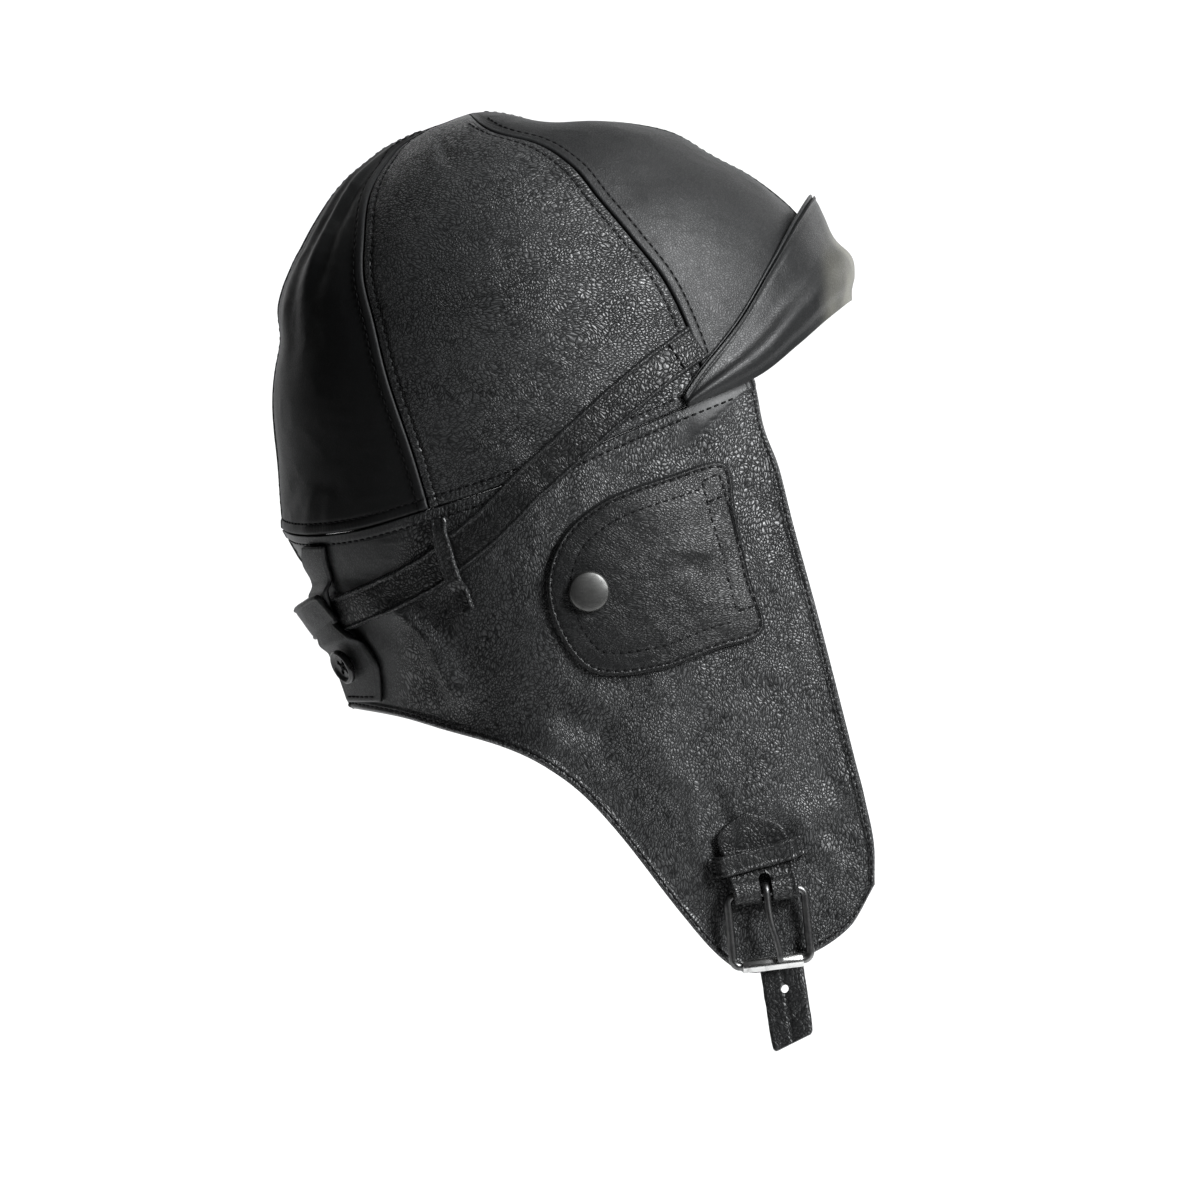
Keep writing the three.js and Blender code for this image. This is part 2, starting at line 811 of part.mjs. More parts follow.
function peakFace(turn, share, stand) {
  const side = Math.sign(turn) || 1;
  const around = Math.abs(turn);
  const tilt = radians(crownTilt);
  const upward = new THREE.Vector3(0, Math.sin(tilt), Math.cos(tilt));
  const root = crownBase(around, 0);
  const outward = crownNormal(around, 0);
  outward.addScaledVector(upward, -outward.dot(upward)).normalize();
  const fade = Math.pow(Math.max(0, Math.cos(radians(90 * around / (peakHalfTurn + 2)))), peakTaper);
  const up = readTable(peakProfile, 'up', 'up', share);
  const out = readTable(peakProfile, 'up', 'out', share) * peakStand * fade;
  const rise = up * peakHeight * fade - seamGap;
  const clear = peakClear + goreBulge * 0.3 * Math.sin(Math.PI * limit(share * 2, 0, 1));
  const point = root.addScaledVector(upward, rise);
  point.addScaledVector(outward, clear + out + stand * peakThickness);
  return new THREE.Vector3(point.x * side, point.y, point.z);
}

const peakSolid = sheetSolid(peakRows, peakColumns, (row, column, layer) => {
  const turn = mix(-peakHalfTurn, peakHalfTurn, column / peakColumns);
  const share = Math.pow(row / peakRows, 1.15);
  return peakFace(turn, share, layer);
});
addPiece('peak', peakSolid, blackLeather);

// Straps that follow the skin. The route's rows give turn and down, and riseAt
// gives how far the strap stands above its seat at a place on the skin.

const turnOf = (point) => roundView(point)[0];

// A ring of a strap whose width follows the curve of the skin
function ringOnSkin(centre, across, section, lift) {
  const half = Math.max(...section.map(([a]) => a));
  const ends = [-1, 1].map((way) => {
    const aside = centre.point.clone().addScaledVector(across, way * half);
    return skinRound(Math.min(turnOf(aside), 180), -aside.z / skirtDepth);
  });
  return section.map(([a, b]) => {
    const end = a < 0 ? ends[0] : ends[1];
    const share = Math.abs(a) / half;
    const base = centre.point.clone().addScaledVector(across, a);
    const sag = end.point.clone().sub(centre.point).dot(centre.normal);
    const outward = centre.normal.clone().lerp(end.normal, share * 0.5).normalize();
    base.addScaledVector(centre.normal, sag * share * share);
    return base.addScaledVector(outward, lift + b);
  });
}

function strapOnSkin(route, steps, width, thickness, side, riseAt) {
  const section = strapSection(width, thickness);
  const centres = [];
  for (let step = 0; step <= steps; step += 1) {
    const turn = readRows(route, 'turn', step / steps);
    const down = readRows(route, 'down', step / steps);
    centres.push({ ...skinRound(Math.min(turn, 179.5), down), turn, down });
  }
  return centres.map((found, index) => {
    const before = centres[Math.max(0, index - 1)].point;
    const after = centres[Math.min(steps, index + 1)].point;
    const along = after.clone().sub(before).normalize();
    const across = new THREE.Vector3().crossVectors(found.normal, along).normalize();
    const lift = seat + thickness / 2 + riseAt(found);
    return ringOnSkin(found, across, section, lift).map((point) => onSide(side, point));
  });
}

// How far a piece that crosses the head strap stands up to pass over it
const crossingRamp = 4;

function overHeadStrap(turn, down) {
  const routeDown = readTable(headStrapRoute, 'turn', 'down', turn);
  const ahead = readTable(headStrapRoute, 'turn', 'down', turn - 2);
  const arc = radians(2) * crownHalfWidth;
  const slope = Math.atan2((routeDown - ahead) * skirtDepth, arc);
  const distance = Math.abs(down - routeDown) * skirtDepth * Math.cos(slope);
  const share = limit((headStrapWidth / 2 + 1.5 + crossingRamp - distance) / crossingRamp, 0, 1);
  return (headStrapThickness + layerGap) * easy(share);
}

const headStrapSteps = 30;

for (const side of ['right', 'left']) {
  const rings = strapOnSkin(
    headStrapRoute, headStrapSteps, headStrapWidth, headStrapThickness, side, () => 0,
  );
  const last = rings[rings.length - 1];
  for (const point of last) {
    point.x = hand[side] * seamGap / 2;
  }
  addPiece(`head_strap_${side}`, sweptSolid(rings, false), blackLeather);
}

// Side loops pass over the head strap

for (const side of ['right', 'left']) {
  const rings = strapOnSkin(
    sideLoopRoute, 14, sideLoopWidth, sideLoopThickness, side,
    ({ turn, down }) => overHeadStrap(turn, down),
  );
  addPiece(`side_loop_${side}`, sweptSolid(rings, false), blackLeather);
}

// Rear tabs pass over the head strap too, and carry a button each

function rearTabSolid(side) {
  const rows = 18;
  const columns = 4;
  const top = rearTabRows[0].down;
  const foot = rearTabRows[rearTabRows.length - 1].down;
  return sheetSolid(rows, columns, (row, column, layer) => {
    const down = mix(top, foot, row / rows);
    const far = readTable(rearTabRows, 'down', 'far', down);
    const near = readTable(rearTabRows, 'down', 'near', down);
    const turn = mix(far, near, column / columns);
    const found = skinRound(turn, down);
    const lift = seat + overHeadStrap(turn, down) + layer * rearTabThickness;
    return onSide(side, found.point.addScaledVector(found.normal, lift));
  });
}

function buttonSolid() {
  const radius = buttonDiameter / 2;
  const rim = radius * 0.24;
  const profile = [
    [0, 0], [radius * 0.82, 0], [radius, buttonThickness * 0.35],
    [radius, buttonThickness * 0.75], [radius - rim * 0.4, buttonThickness],
    [radius - rim, buttonThickness * 0.9], [radius - rim * 1.5, buttonThickness * 0.6],
    [0, buttonThickness * 0.6],
  ].map(([x, y]) => new THREE.Vector2(x, y));
  const disc = new THREE.LatheGeometry(profile, 20);
  const holes = [];
  const spread = radius * 0.27;
  for (const [x, z] of [[1, 1], [1, -1], [-1, 1], [-1, -1]]) {
    const hole = new THREE.CylinderGeometry(
      buttonHoleDiameter / 2, buttonHoleDiameter / 2, buttonThickness * 3, 6,
    );
    hole.translate(x * spread, 0, z * spread);
    holes.push(hole);
  }
  return cutAway(disc, holes);
}

// Sets a turned piece, whose axis is Y, on the skin with its axis outward
function seatOnSkin(mesh, found, side, lift) {
  const normal = onSide(side, found.normal);
  mesh.position.copy(onSide(side, found.point)).addScaledVector(normal, lift);
  mesh.quaternion.setFromUnitVectors(new THREE.Vector3(0, 1, 0), normal);
}

for (const side of ['right', 'left']) {
  addPiece(`rear_tab_${side}`, rearTabSolid(side), blackLeather);
  const button = addPiece(`rear_button_${side}`, buttonSolid(), blackHorn);
  const found = skinRound(rearButtonTurn, rearButtonDown);
  const lift = seat + rearTabThickness + overHeadStrap(rearButtonTurn, rearButtonDown);
  seatOnSkin(button, found, side, lift + buttonLift);
}

// The strap's own fold stands proud at the centre back

function strapSlideSolid() {
  const steps = 14;
  const section = strapSection(strapSlideWidth, strapSlideThickness);
  const layers = headStrapThickness + rearTabThickness + 2 * layerGap;
  const lift = seat + layers + strapSlideClear + strapSlideThickness / 2;
  const stations = [];
  for (let step = 0; step <= steps; step += 1) {
    const share = 2 * step / steps - 1;
    const turn = 180 - Math.abs(share) * strapSlideTurn;
    const nape = skinRound(turn, readTable(headStrapRoute, 'turn', 'down', turn));
    const centre = nape.point.clone().addScaledVector(nape.normal, lift);
    const normal = nape.normal.clone();
    centre.x *= Math.sign(share);
    normal.x *= Math.sign(share);
    centre.y += strapSlideStand * Math.pow(Math.cos(share * Math.PI / 2), 1.4);
    stations.push({ centre, normal });
  }
  return sweptSolid(stations.map(({ centre, normal }, index) => {
    const before = stations[Math.max(0, index - 1)].centre;
    const after = stations[Math.min(steps, index + 1)].centre;
    const along = after.clone().sub(before).normalize();
    const across = new THREE.Vector3().crossVectors(along, normal).normalize();
    const outward = new THREE.Vector3().crossVectors(across, along).normalize();
    return ringAt(centre, across, outward, section);
  }), false);
}

addPiece('strap_slide', strapSlideSolid(), blackLeather);

// Ear covers and their snaps

function tangentFrame(found) {
  const outward = found.normal.clone();
  const forward = new THREE.Vector3(0, -1, 0);
  forward.addScaledVector(outward, -forward.dot(outward)).normalize();
  const upward = new THREE.Vector3().crossVectors(forward, outward).normalize();
  if (upward.z < 0) {
    upward.negate();
  }
  return { origin: found.point.clone(), forward, upward, outward };
}

function skinInFrame(frame, along, up) {
  const measure = (point) => {
    const off = point.clone().sub(frame.origin);
    return [off.dot(frame.forward), off.dot(frame.upward)];
  };
  return findOnSkin(measure, [along, up]);
}

const earFrame = tangentFrame(skinFromSide(earPatchFore, earPatchDown));

function earOutline(share) {
  const corners = earPatchOutline.map((row) =>
    new THREE.Vector3(row.along * earPatchLength, row.up * earPatchHeight, 0));
  return new THREE.CatmullRomCurve3(corners, true, 'centripetal').getPointAt(share);
}

function earPatchLift(share) {
  return earPatchLoft * (1 - Math.pow(share, 3));
}

function earPatchSolid(side) {
  const sectors = 30;
  return discSolid(sectors, 3, (sector, share, layer) => {
    const rim = earOutline(sector / sectors);
    const found = skinInFrame(earFrame, rim.x * share, rim.y * share);
    const lift = seat + layer * (earPatchThickness + earPatchLift(share));
    return onSide(side, found.point.addScaledVector(found.normal, lift));
  });
}

function snapSolid() {
  const radius = snapDiameter / 2;
  const profile = [
    [0, 0], [radius * 0.93, 0], [radius, snapHeight * 0.16], [radius * 0.97, snapHeight * 0.36],
    [radius * 0.8, snapHeight * 0.7], [radius * 0.5, snapHeight * 0.93], [0, snapHeight],
  ].map(([x, y]) => new THREE.Vector2(x, y));
  return new THREE.LatheGeometry(profile, 24);
}

for (const side of ['right', 'left']) {
  addPiece(`ear_patch_${side}`, earPatchSolid(side), blackLeather);
  const snap = addPiece(`ear_snap_${side}`, snapSolid(), gunmetal);
  const found = skinInFrame(earFrame, snapAlong * earPatchLength, snapUp * earPatchHeight);
  const share = 0.62;
  seatOnSkin(snap, found, side, seat + earPatchThickness + earPatchLift(share) + 0.45);
}

// Buckle. Its own frame has x forward along the hinge bar, y up the strap and
// z away from the flap, and starts on the flap under the middle of the bar.

const wireRadius = wireDiameter / 2;
const innerRadius = wireRadius + pivotClearance;
const barHeight = seat + wireRadius + pivotClearance + prongThickness + 0.3;
const barToRoller = buckleLength - wireDiameter;
const rollerHeight = seat + rollerDiameter / 2 + layerGap;

const buckleSeat = tangentFrame(skinFromSide(buckleFore, buckleDown));
const buckleGroup = new THREE.Group();
const buckleOutward = onSide('right', buckleSeat.outward);
const buckleForward = onSide('right', buckleSeat.forward);
buckleForward.applyAxisAngle(buckleOutward, radians(-buckleTurn));
const buckleUpward = new THREE.Vector3().crossVectors(buckleOutward, buckleForward);
const buckleAxes = new THREE.Matrix4().makeBasis(buckleForward, buckleUpward, buckleOutward);
buckleGroup.quaternion.setFromRotationMatrix(buckleAxes);
buckleGroup.position.copy(onSide('right', buckleSeat.origin));
helmet.add(buckleGroup);

// The wire frame lies in a plane that leans from the bar down to the roller
function buckleFrameSolid() {
  const halfWidth = buckleWidth / 2 - wireRadius;
  const corners = [];
  const turns = 3;
  const places = [
    [halfWidth, 0, 0], [-halfWidth, 0, 90], [-halfWidth, -barToRoller, 180], [halfWidth, -barToRoller, 270],
  ];
  for (const [x, y, start] of places) {
    const middleX = x - Math.sign(x) * buckleCorner;
    const middleY = y + (y < 0 ? buckleCorner : -buckleCorner);
    for (let step = 0; step <= turns; step += 1) {
      const angle = radians(start + 90 * step / turns);
      corners.push([middleX + Math.cos(angle) * buckleCorner, middleY + Math.sin(angle) * buckleCorner]);
    }
  }
  const heightAt = (y) => mix(barHeight, rollerHeight, limit(-y / barToRoller, 0, 1));
  const path = corners.map(([x, y]) => new THREE.Vector3(x, y, heightAt(y)));
  const section = rodSection(wireDiameter, wireDiameter, 8);
  const outward = new THREE.Vector3(0, 0, 1);
  const rings = path.map((centre, index) => {
    const before = path[(index + path.length - 1) % path.length];
    const after = path[(index + 1) % path.length];
    const along = after.clone().sub(before).normalize();
    const across = new THREE.Vector3().crossVectors(along, outward).normalize();
    return ringAt(centre, across, outward, section);
  });
  return sweptSolid(rings, true);
}

addPiece('buckle_frame', buckleFrameSolid(), nickel, buckleGroup);

function rollerSolid() {
  const straight = buckleWidth - wireDiameter - 2 * buckleCorner;
  const length = straight - 2 * pivotClearance;
  const outer = rollerDiameter / 2;
  const inner = wireRadius + rollerClearance;
  const half = length / 2;
  const profile = [
    [inner, -half], [outer - 0.3, -half], [outer, -half + 0.4], [outer, half - 0.4],
    [outer - 0.3, half], [inner, half], [inner, -half],
  ].map(([x, y]) => new THREE.Vector2(x, y));
  const geometry = new THREE.LatheGeometry(profile, 14);
  geometry.rotateZ(Math.PI / 2);
  return geometry;
}

const roller = addPiece('buckle_roller', rollerSolid(), nickel, buckleGroup);
roller.position.set(0, -barToRoller, rollerHeight);

// The prong is bent round the bar and lies on the roller
const prongWrap = { from: -195, to: 90 };

function prongSolid() {
  const radius = innerRadius + prongThickness / 2;
  const path = [];
  const wrapSteps = 11;
  for (let step = 0; step <= wrapSteps; step += 1) {
    const angle = radians(mix(prongWrap.from, prongWrap.to, step / wrapSteps));
    const outward = new THREE.Vector3(0, Math.cos(angle), Math.sin(angle));
    const centre = outward.clone().multiplyScalar(radius);
    centre.z += barHeight;
    path.push({ centre, outward });
  }
  const rest = rollerHeight + rollerDiameter / 2 + layerGap + prongThickness / 2;
  const start = barHeight + radius;
  const shaft = [
    { down: 0.2, high: 0.1, aside: 0 },
    { down: 0.45, high: 0.2, aside: 0.02 },
    { down: 0.68, high: 0.15, aside: 0.07 },
    { down: 0.86, high: 0.05, aside: 0.095 },
    { down: 0.985, high: 0, aside: 0.1 },
  ];
  for (const row of shaft) {
    const straight = mix(start, rest, row.down);
    const centre = new THREE.Vector3(
      row.aside * barToRoller, -row.down * barToRoller, straight + row.high * wireDiameter,
    );
    path.push({ centre, outward: new THREE.Vector3(0, 0, 1) });
  }
  const across = new THREE.Vector3(1, 0, 0);
  const last = path.length - 1;
  const rings = path.map(({ centre, outward }, index) => {
    const taper = index === last ? 0.62 : 1;
    const section = rodSection(prongWidth * taper, prongThickness * taper, 8);
    return ringAt(centre, across, outward, section);
  });
  return sweptSolid(rings, false);
}

addPiece('buckle_prong', prongSolid(), nickel, buckleGroup);

// The tab lies on the flap, turns round the bar and comes back over itself
function tabCentreline() {
  const thick = buckleTabThickness;
  const low = seat + thick / 2;
  const high = low + thick + layerGap;
  const turnRadius = innerRadius + thick / 2;
  const line = [
    { up: buckleTabLength, out: low, wide: 0.06 },
    { up: buckleTabLength * 0.86, out: low, wide: 0.75 },
    { up: buckleTabLength * 0.74, out: low, wide: 1.04 },
    { up: buckleTabLength * 0.5, out: low, wide: 1.04 },
    { up: buckleTabLength * 0.28, out: low, wide: 1.02 },
    { up: buckleTabLength * 0.12, out: mix(low, barHeight - turnRadius, 0.6), wide: 1 },
  ];
  const bendSteps = 7;
  for (let step = 0; step <= bendSteps; step += 1) {
    const angle = radians(-90 - 180 * step / bendSteps);
    line.push({
      up: Math.cos(angle) * turnRadius,
      out: barHeight + Math.sin(angle) * turnRadius,
      wide: 0.98,
    });
  }
  line.push({ up: buckleTabCover * 0.2, out: barHeight + turnRadius - 0.6, wide: 1 });
  line.push({ up: buckleTabCover * 0.36, out: high + 0.7, wide: 1.02 });
  line.push({ up: buckleTabCover * 0.55, out: high, wide: 1.04 });
  line.push({ up: buckleTabCover, out: high, wide: 1.04 });
  return line;
}

function buckleTabSolid() {
  const line = tabCentreline();
  const lean = Math.tan(radians(-tabLean));
  const rings = line.map((row, index) => {
    const before = line[Math.max(0, index - 1)];
    const after = line[Math.min(line.length - 1, index + 1)];
    const along = new THREE.Vector3(0, after.up - before.up, after.out - before.out).normalize();
    const across = new THREE.Vector3(1, 0, 0);
    const outward = new THREE.Vector3().crossVectors(across, along).normalize();
    const centre = new THREE.Vector3(-lean * Math.max(0, row.up), row.up, row.out);
    const section = strapSection(buckleTabWidth * row.wide, buckleTabThickness);
    return ringAt(centre, across, outward, section);
  });
  const slotWidth = prongWidth + 4 * pivotClearance;
  const slot = new THREE.BoxGeometry(slotWidth, tabSlotLength + innerRadius * 3, barHeight * 4);
  slot.translate(0, tabSlotLength - (tabSlotLength + innerRadius * 3) / 2, barHeight);
  return cutAway(sweptSolid(rings, false), [slot]);
}

addPiece('buckle_tab', buckleTabSolid(), blackLeather, buckleGroup);

// The keeper bridges both layers of the tab
function keeperSolid() {
  const inside = buckleTabWidth * 0.52 + layerGap * 2;
  const thick = keeperThickness;
  const top = seat + 2 * buckleTabThickness + 2 * layerGap + 0.5 + thick / 2;
  const foot = seat + thick / 2;
  const line = [
    { x: inside + thick * 2.6, out: foot },
    { x: inside + thick * 1.3, out: foot + 0.1 },
    { x: inside + thick * 0.6, out: mix(foot, top, 0.45) },
    { x: inside + thick * 0.1, out: top - 0.35 },
    { x: inside * 0.8, out: top },
  ];
  const route = [...line, ...line.slice().reverse().map((row) => ({ x: -row.x, out: row.out }))];
  const turn = radians(keeperLean);
  const upAxis = new THREE.Vector3(-Math.sin(turn), Math.cos(turn), 0);
  const sideAxis = new THREE.Vector3(Math.cos(turn), Math.sin(turn), 0);
  const middleUp = tabSlotLength + 1.8 + keeperWidth / 2;
  const centres = route.map((row) => {
    const centre = sideAxis.clone().multiplyScalar(row.x);
    centre.x += Math.tan(radians(tabLean)) * middleUp;
    centre.y += middleUp;
    centre.z = row.out;
    return centre;
  });
  const section = strapSection(keeperWidth, thick);
  const rings = centres.map((centre, index) => {
    const before = centres[Math.max(0, index - 1)];
    const after = centres[Math.min(centres.length - 1, index + 1)];
    const along = after.clone().sub(before).normalize();
    const outward = new THREE.Vector3().crossVectors(upAxis, along).normalize();
    return ringAt(centre, upAxis, outward, section);
  });
  return sweptSolid(rings, false);
}

addPiece('buckle_keeper', keeperSolid(), blackLeather, buckleGroup);

// Chin strap, sewn to the left flap and hanging free below it

function chinStrapSolid() {
  const start = tangentFrame(skinFromSide(chinStrapFore, chinStrapDown));
  const lean = radians(chinStrapLean);
  const downAxis = start.upward.clone().multiplyScalar(-Math.cos(lean));
  downAxis.addScaledVector(start.forward, Math.sin(lean));
  const across = new THREE.Vector3().crossVectors(start.outward, downAxis).normalize();
  const lift = seat + chinStrapThickness / 2;
  const rows = [
    { down: 0, wide: 0.9 }, { down: 0.04, wide: 1 }, { down: 0.25, wide: 1 },
    { down: 0.5, wide: 1 }, { down: 0.75, wide: 1 }, { down: 0.93, wide: 1 },
    { down: 0.985, wide: 0.96 }, { down: 1, wide: 0.86 },
  ];
  const slant = 0.13;
  const rings = rows.map((row) => {
    const centre = start.origin.clone().addScaledVector(downAxis, row.down * chinStrapLength);
    centre.addScaledVector(start.outward, lift);
    const section = strapSection(chinStrapWidth * row.wide, chinStrapThickness);
    const ring = ringAt(centre, across, start.outward, section);
    const ease = limit((row.down - 0.75) / 0.25, 0, 1);
    for (const point of ring) {
      const off = point.clone().sub(centre).dot(across);
      point.addScaledVector(downAxis, -off * slant * 2 * ease);
    }
    return ring;
  });
  const hole = new THREE.CylinderGeometry(
    chinHoleDiameter / 2, chinHoleDiameter / 2, chinStrapThickness * 4, 10,
  );
  hole.applyQuaternion(
    new THREE.Quaternion().setFromUnitVectors(new THREE.Vector3(0, 1, 0), start.outward),
  );
  const place = start.origin.clone().addScaledVector(downAxis, chinStrapLength * 0.7);
  place.addScaledVector(start.outward, lift);
  hole.translate(place.x, place.y, place.z);
  return cutAway(sweptSolid(rings, false), [hole]);
}

addPiece('chin_strap', chinStrapSolid(), blackLeather);

export { skinFromSide, skinRound, crownHalfLength, skirtDepth };
export default helmet;
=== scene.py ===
import math
from functools import partial
from itertools import product

import bmesh
import bpy
import numpy as np
from mathutils import Matrix, Vector
from mathutils.bvhtree import BVHTree


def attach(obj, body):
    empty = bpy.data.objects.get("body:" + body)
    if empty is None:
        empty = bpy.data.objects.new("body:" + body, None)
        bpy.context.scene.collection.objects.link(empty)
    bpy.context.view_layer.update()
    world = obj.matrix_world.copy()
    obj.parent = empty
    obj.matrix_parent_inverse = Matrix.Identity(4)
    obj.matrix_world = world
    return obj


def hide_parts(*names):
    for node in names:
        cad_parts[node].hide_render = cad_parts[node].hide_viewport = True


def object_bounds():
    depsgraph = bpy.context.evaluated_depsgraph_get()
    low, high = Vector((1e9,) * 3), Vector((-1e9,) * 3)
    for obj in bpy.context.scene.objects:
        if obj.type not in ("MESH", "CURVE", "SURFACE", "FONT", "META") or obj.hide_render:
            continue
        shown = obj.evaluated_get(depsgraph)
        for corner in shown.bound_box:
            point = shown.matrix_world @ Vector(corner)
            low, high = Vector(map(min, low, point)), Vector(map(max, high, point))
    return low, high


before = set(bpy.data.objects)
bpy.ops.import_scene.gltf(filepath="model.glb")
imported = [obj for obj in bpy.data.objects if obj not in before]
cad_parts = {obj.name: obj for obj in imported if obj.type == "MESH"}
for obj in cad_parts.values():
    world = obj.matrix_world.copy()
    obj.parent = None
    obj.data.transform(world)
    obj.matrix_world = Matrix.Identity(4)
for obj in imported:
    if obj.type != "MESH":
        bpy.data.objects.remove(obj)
cad_low, cad_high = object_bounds()

# Sizes are in millimetres and become metres when a mesh is made. The wearer
# faces -Y, the wearer's left is +X. Half surfaces have X of 0 or more, and the
# right half is their mirror image.

MM = 0.001

# Sizes of the frame's solids, which the finished surfaces follow

CROWN_TILT = 18
CROWN_HALF_LENGTH = 105.7
CROWN_HALF_WIDTH = 80
CROWN_HEIGHT = 112
SKIRT_DEPTH = 194
WALL = 1.7
SEAT = 0.55
LAYER_GAP = 0.3
SLACK_GAP = 0.5
GORE_BULGE = 2.2
MIDDLE_GAP = 0.03  # the halves keep this far from the middle plane

PEAK_HEIGHT = 38.8
PEAK_STAND = 4.1
PEAK_THICKNESS = 2.2
PEAK_HALF_TURN = 65.5
PEAK_TAPER = 0.72

STRAP_WIDTH = 13
STRAP_THICKNESS = 2
SLIDE_WIDTH = 13.5
SLIDE_STAND = 0.8
SLIDE_CLEAR = 0.6
SLIDE_TURN = 18
SLIDE_LEAN = 24
SLIDE_SINK = 1.6
LOOP_WIDTH = 6.3
LOOP_THICKNESS = 1.6
TAB_THICKNESS = 1.9
BUTTON_DIAMETER = 12.6
BUTTON_THICKNESS = 3
BUTTON_LIFT = 0.7
BUTTON_TURN = 165
BUTTON_DOWN = 0.436

PATCH_LENGTH = 77.6
PATCH_HEIGHT = 76
PATCH_THICKNESS = 2
PATCH_LOFT = 1.6
PATCH_FORE = 0.305
PATCH_DOWN = 0.258
SNAP_DIAMETER = 14.4
SNAP_HEIGHT = 2.8
SNAP_ALONG = -0.31
SNAP_UP = -0.13

WIRE = 2.9
BUCKLE_WIDTH = 30.3
BUCKLE_LENGTH = 28
BUCKLE_CORNER = 2.6
BUCKLE_TURN = -6
BUCKLE_FORE = 0.658
BUCKLE_DOWN = 0.852
PIVOT_CLEAR = 0.3
PRONG_WIDTH = 3
PRONG_THICKNESS = 2
ROLLER_DIAMETER = 4.9
ROLLER_CLEAR = 0.4
BUCKLE_TAB_WIDTH = 23.4
BUCKLE_TAB_LENGTH = 28.5
BUCKLE_TAB_COVER = 16
BUCKLE_TAB_THICKNESS = 1.8
TAB_SLOT = 7
TAB_LEAN = -7
KEEPER_WIDTH = 7.4
KEEPER_THICKNESS = 1.6
KEEPER_LEAN = 8

CHIN_WIDTH = 15.4
CHIN_LENGTH = 71
CHIN_THICKNESS = 2.6
CHIN_HOLE = 3
CHIN_FORE = 0.65
CHIN_DOWN = 0.765
CHIN_LEAN = 9
CHIN_SLANT = 0.3

# Sewing
STITCH_PITCH = 3.0
STITCH_LENGTH = 2.15
THREAD = 0.72
GATHER_PITCH = 1.6
SEAM_ROW = 3.9  # a row of stitches runs this far from each seam
HEM = 3.1
HEM_ROW = 2.5
NAPE_ROW = 3.2


def table(columns, *rows):
    """Rows of numbers under named columns"""
    return {name: np.array([row[i] for row in rows], float)
            for i, name in enumerate(columns.split())}


# up is a share of the crown's height, front and back of its half length, side
# of its half width, and the seams are degrees round the ring from the front
CROWN_RINGS = table(
    "up front back side front_seam rear_seam",
    (0.0, 0.997, 1.0, 1.0, 60.5, 120),
    (0.15, 0.985, 0.955, 1.0, 59.5, 121.5),
    (0.34, 0.94, 0.905, 0.985, 60, 124),
    (0.5, 0.845, 0.832, 0.935, 61.5, 126.5),
    (0.63, 0.715, 0.778, 0.865, 61.5, 128.5),
    (0.75, 0.6, 0.67, 0.765, 61.5, 131),
    (0.855, 0.405, 0.545, 0.62, 62.5, 135),
    (0.93, 0.19, 0.4, 0.44, 71, 139),
    (0.978, 0.08, 0.25, 0.25, 74, 142),
    (1.0, 0.02, 0.022, 0.028, 66, 128),
)
RINGS = len(CROWN_RINGS["up"]) - 1
CROWN_RINGS["row"] = np.arange(RINGS + 1, dtype=float)
RING_MIDDLE_BACK = 0.04

FOOT_LINE = table(
    "turn rise",
    (0, 0.08), (12, 0.072), (25, 0.044), (37, -0.003), (49, -0.056), (64, -0.078), (80, -0.102),
    (100, -0.136), (120, -0.137), (142, -0.125), (180, -0.053),
)

# deep is a share of the crown's height
CROWN_DENTS = table(
    "turn wide level tall deep",
    (0, 40, 0.72, 0.055, 0.03),
    (0, 26, 0.5, 0.09, -0.008),
    (146, 4, 0.62, 0.2, 0.012),
    (157, 4.5, 0.55, 0.22, 0.014),
    (169, 4, 0.6, 0.18, 0.012),
    (151, 4, 0.66, 0.16, -0.01),
    (180, 12, 0.36, 0.05, 0.012),
)

NAPE_LINE = table(
    "share fore down",
    (0, -0.934, 0.197), (0.16, -0.884, 0.247), (0.25, -0.844, 0.279), (0.4, -0.818, 0.326),
    (0.63, -0.785, 0.402), (0.81, -0.742, 0.459), (1, -0.705, 0.523),
)
FACE_LINE = table(
    "share fore down",
    (0, 0.63, -0.072), (0.1, 0.664, 0.02), (0.2, 0.712, 0.09), (0.32, 0.758, 0.19),
    (0.5, 0.84, 0.355), (0.66, 0.911, 0.506), (0.81, 0.977, 0.65), (0.92, 1.023, 0.76),
    (1, 1.027, 0.84),
)
HEM_LINE = table(
    "fore down",
    (-0.705, 0.523), (-0.546, 0.539), (-0.414, 0.56), (-0.215, 0.591), (-0.083, 0.623),
    (0.05, 0.674), (0.182, 0.751), (0.381, 0.89), (0.513, 0.971), (0.613, 1.0),
    (0.778, 0.975), (0.944, 0.917), (1.027, 0.84),
)
PANEL_MID_FORE = -0.05
TEMPLE_TURN = 49
CHIN_TURN_IN = 33
NAPE_NARROWING = 0.09
CHIN_NARROWING = 0.225
NAPE_ROUNDNESS = 1.35
PANEL_FOLDS = table(
    "fore down to_fore to_down width stand",
    (-0.53, 0.35, -0.34, 0.49, 0.03, 0.011),
    (-0.74, 0.3, -0.58, 0.34, 0.025, 0.008),
    (0.8, 0.72, 0.99, 0.66, 0.026, 0.008),
    (0.45, 0.0, 0.6, -0.05, 0.03, 0.01),
    (-0.1, 0.52, 0.12, 0.56, 0.03, -0.008),
)

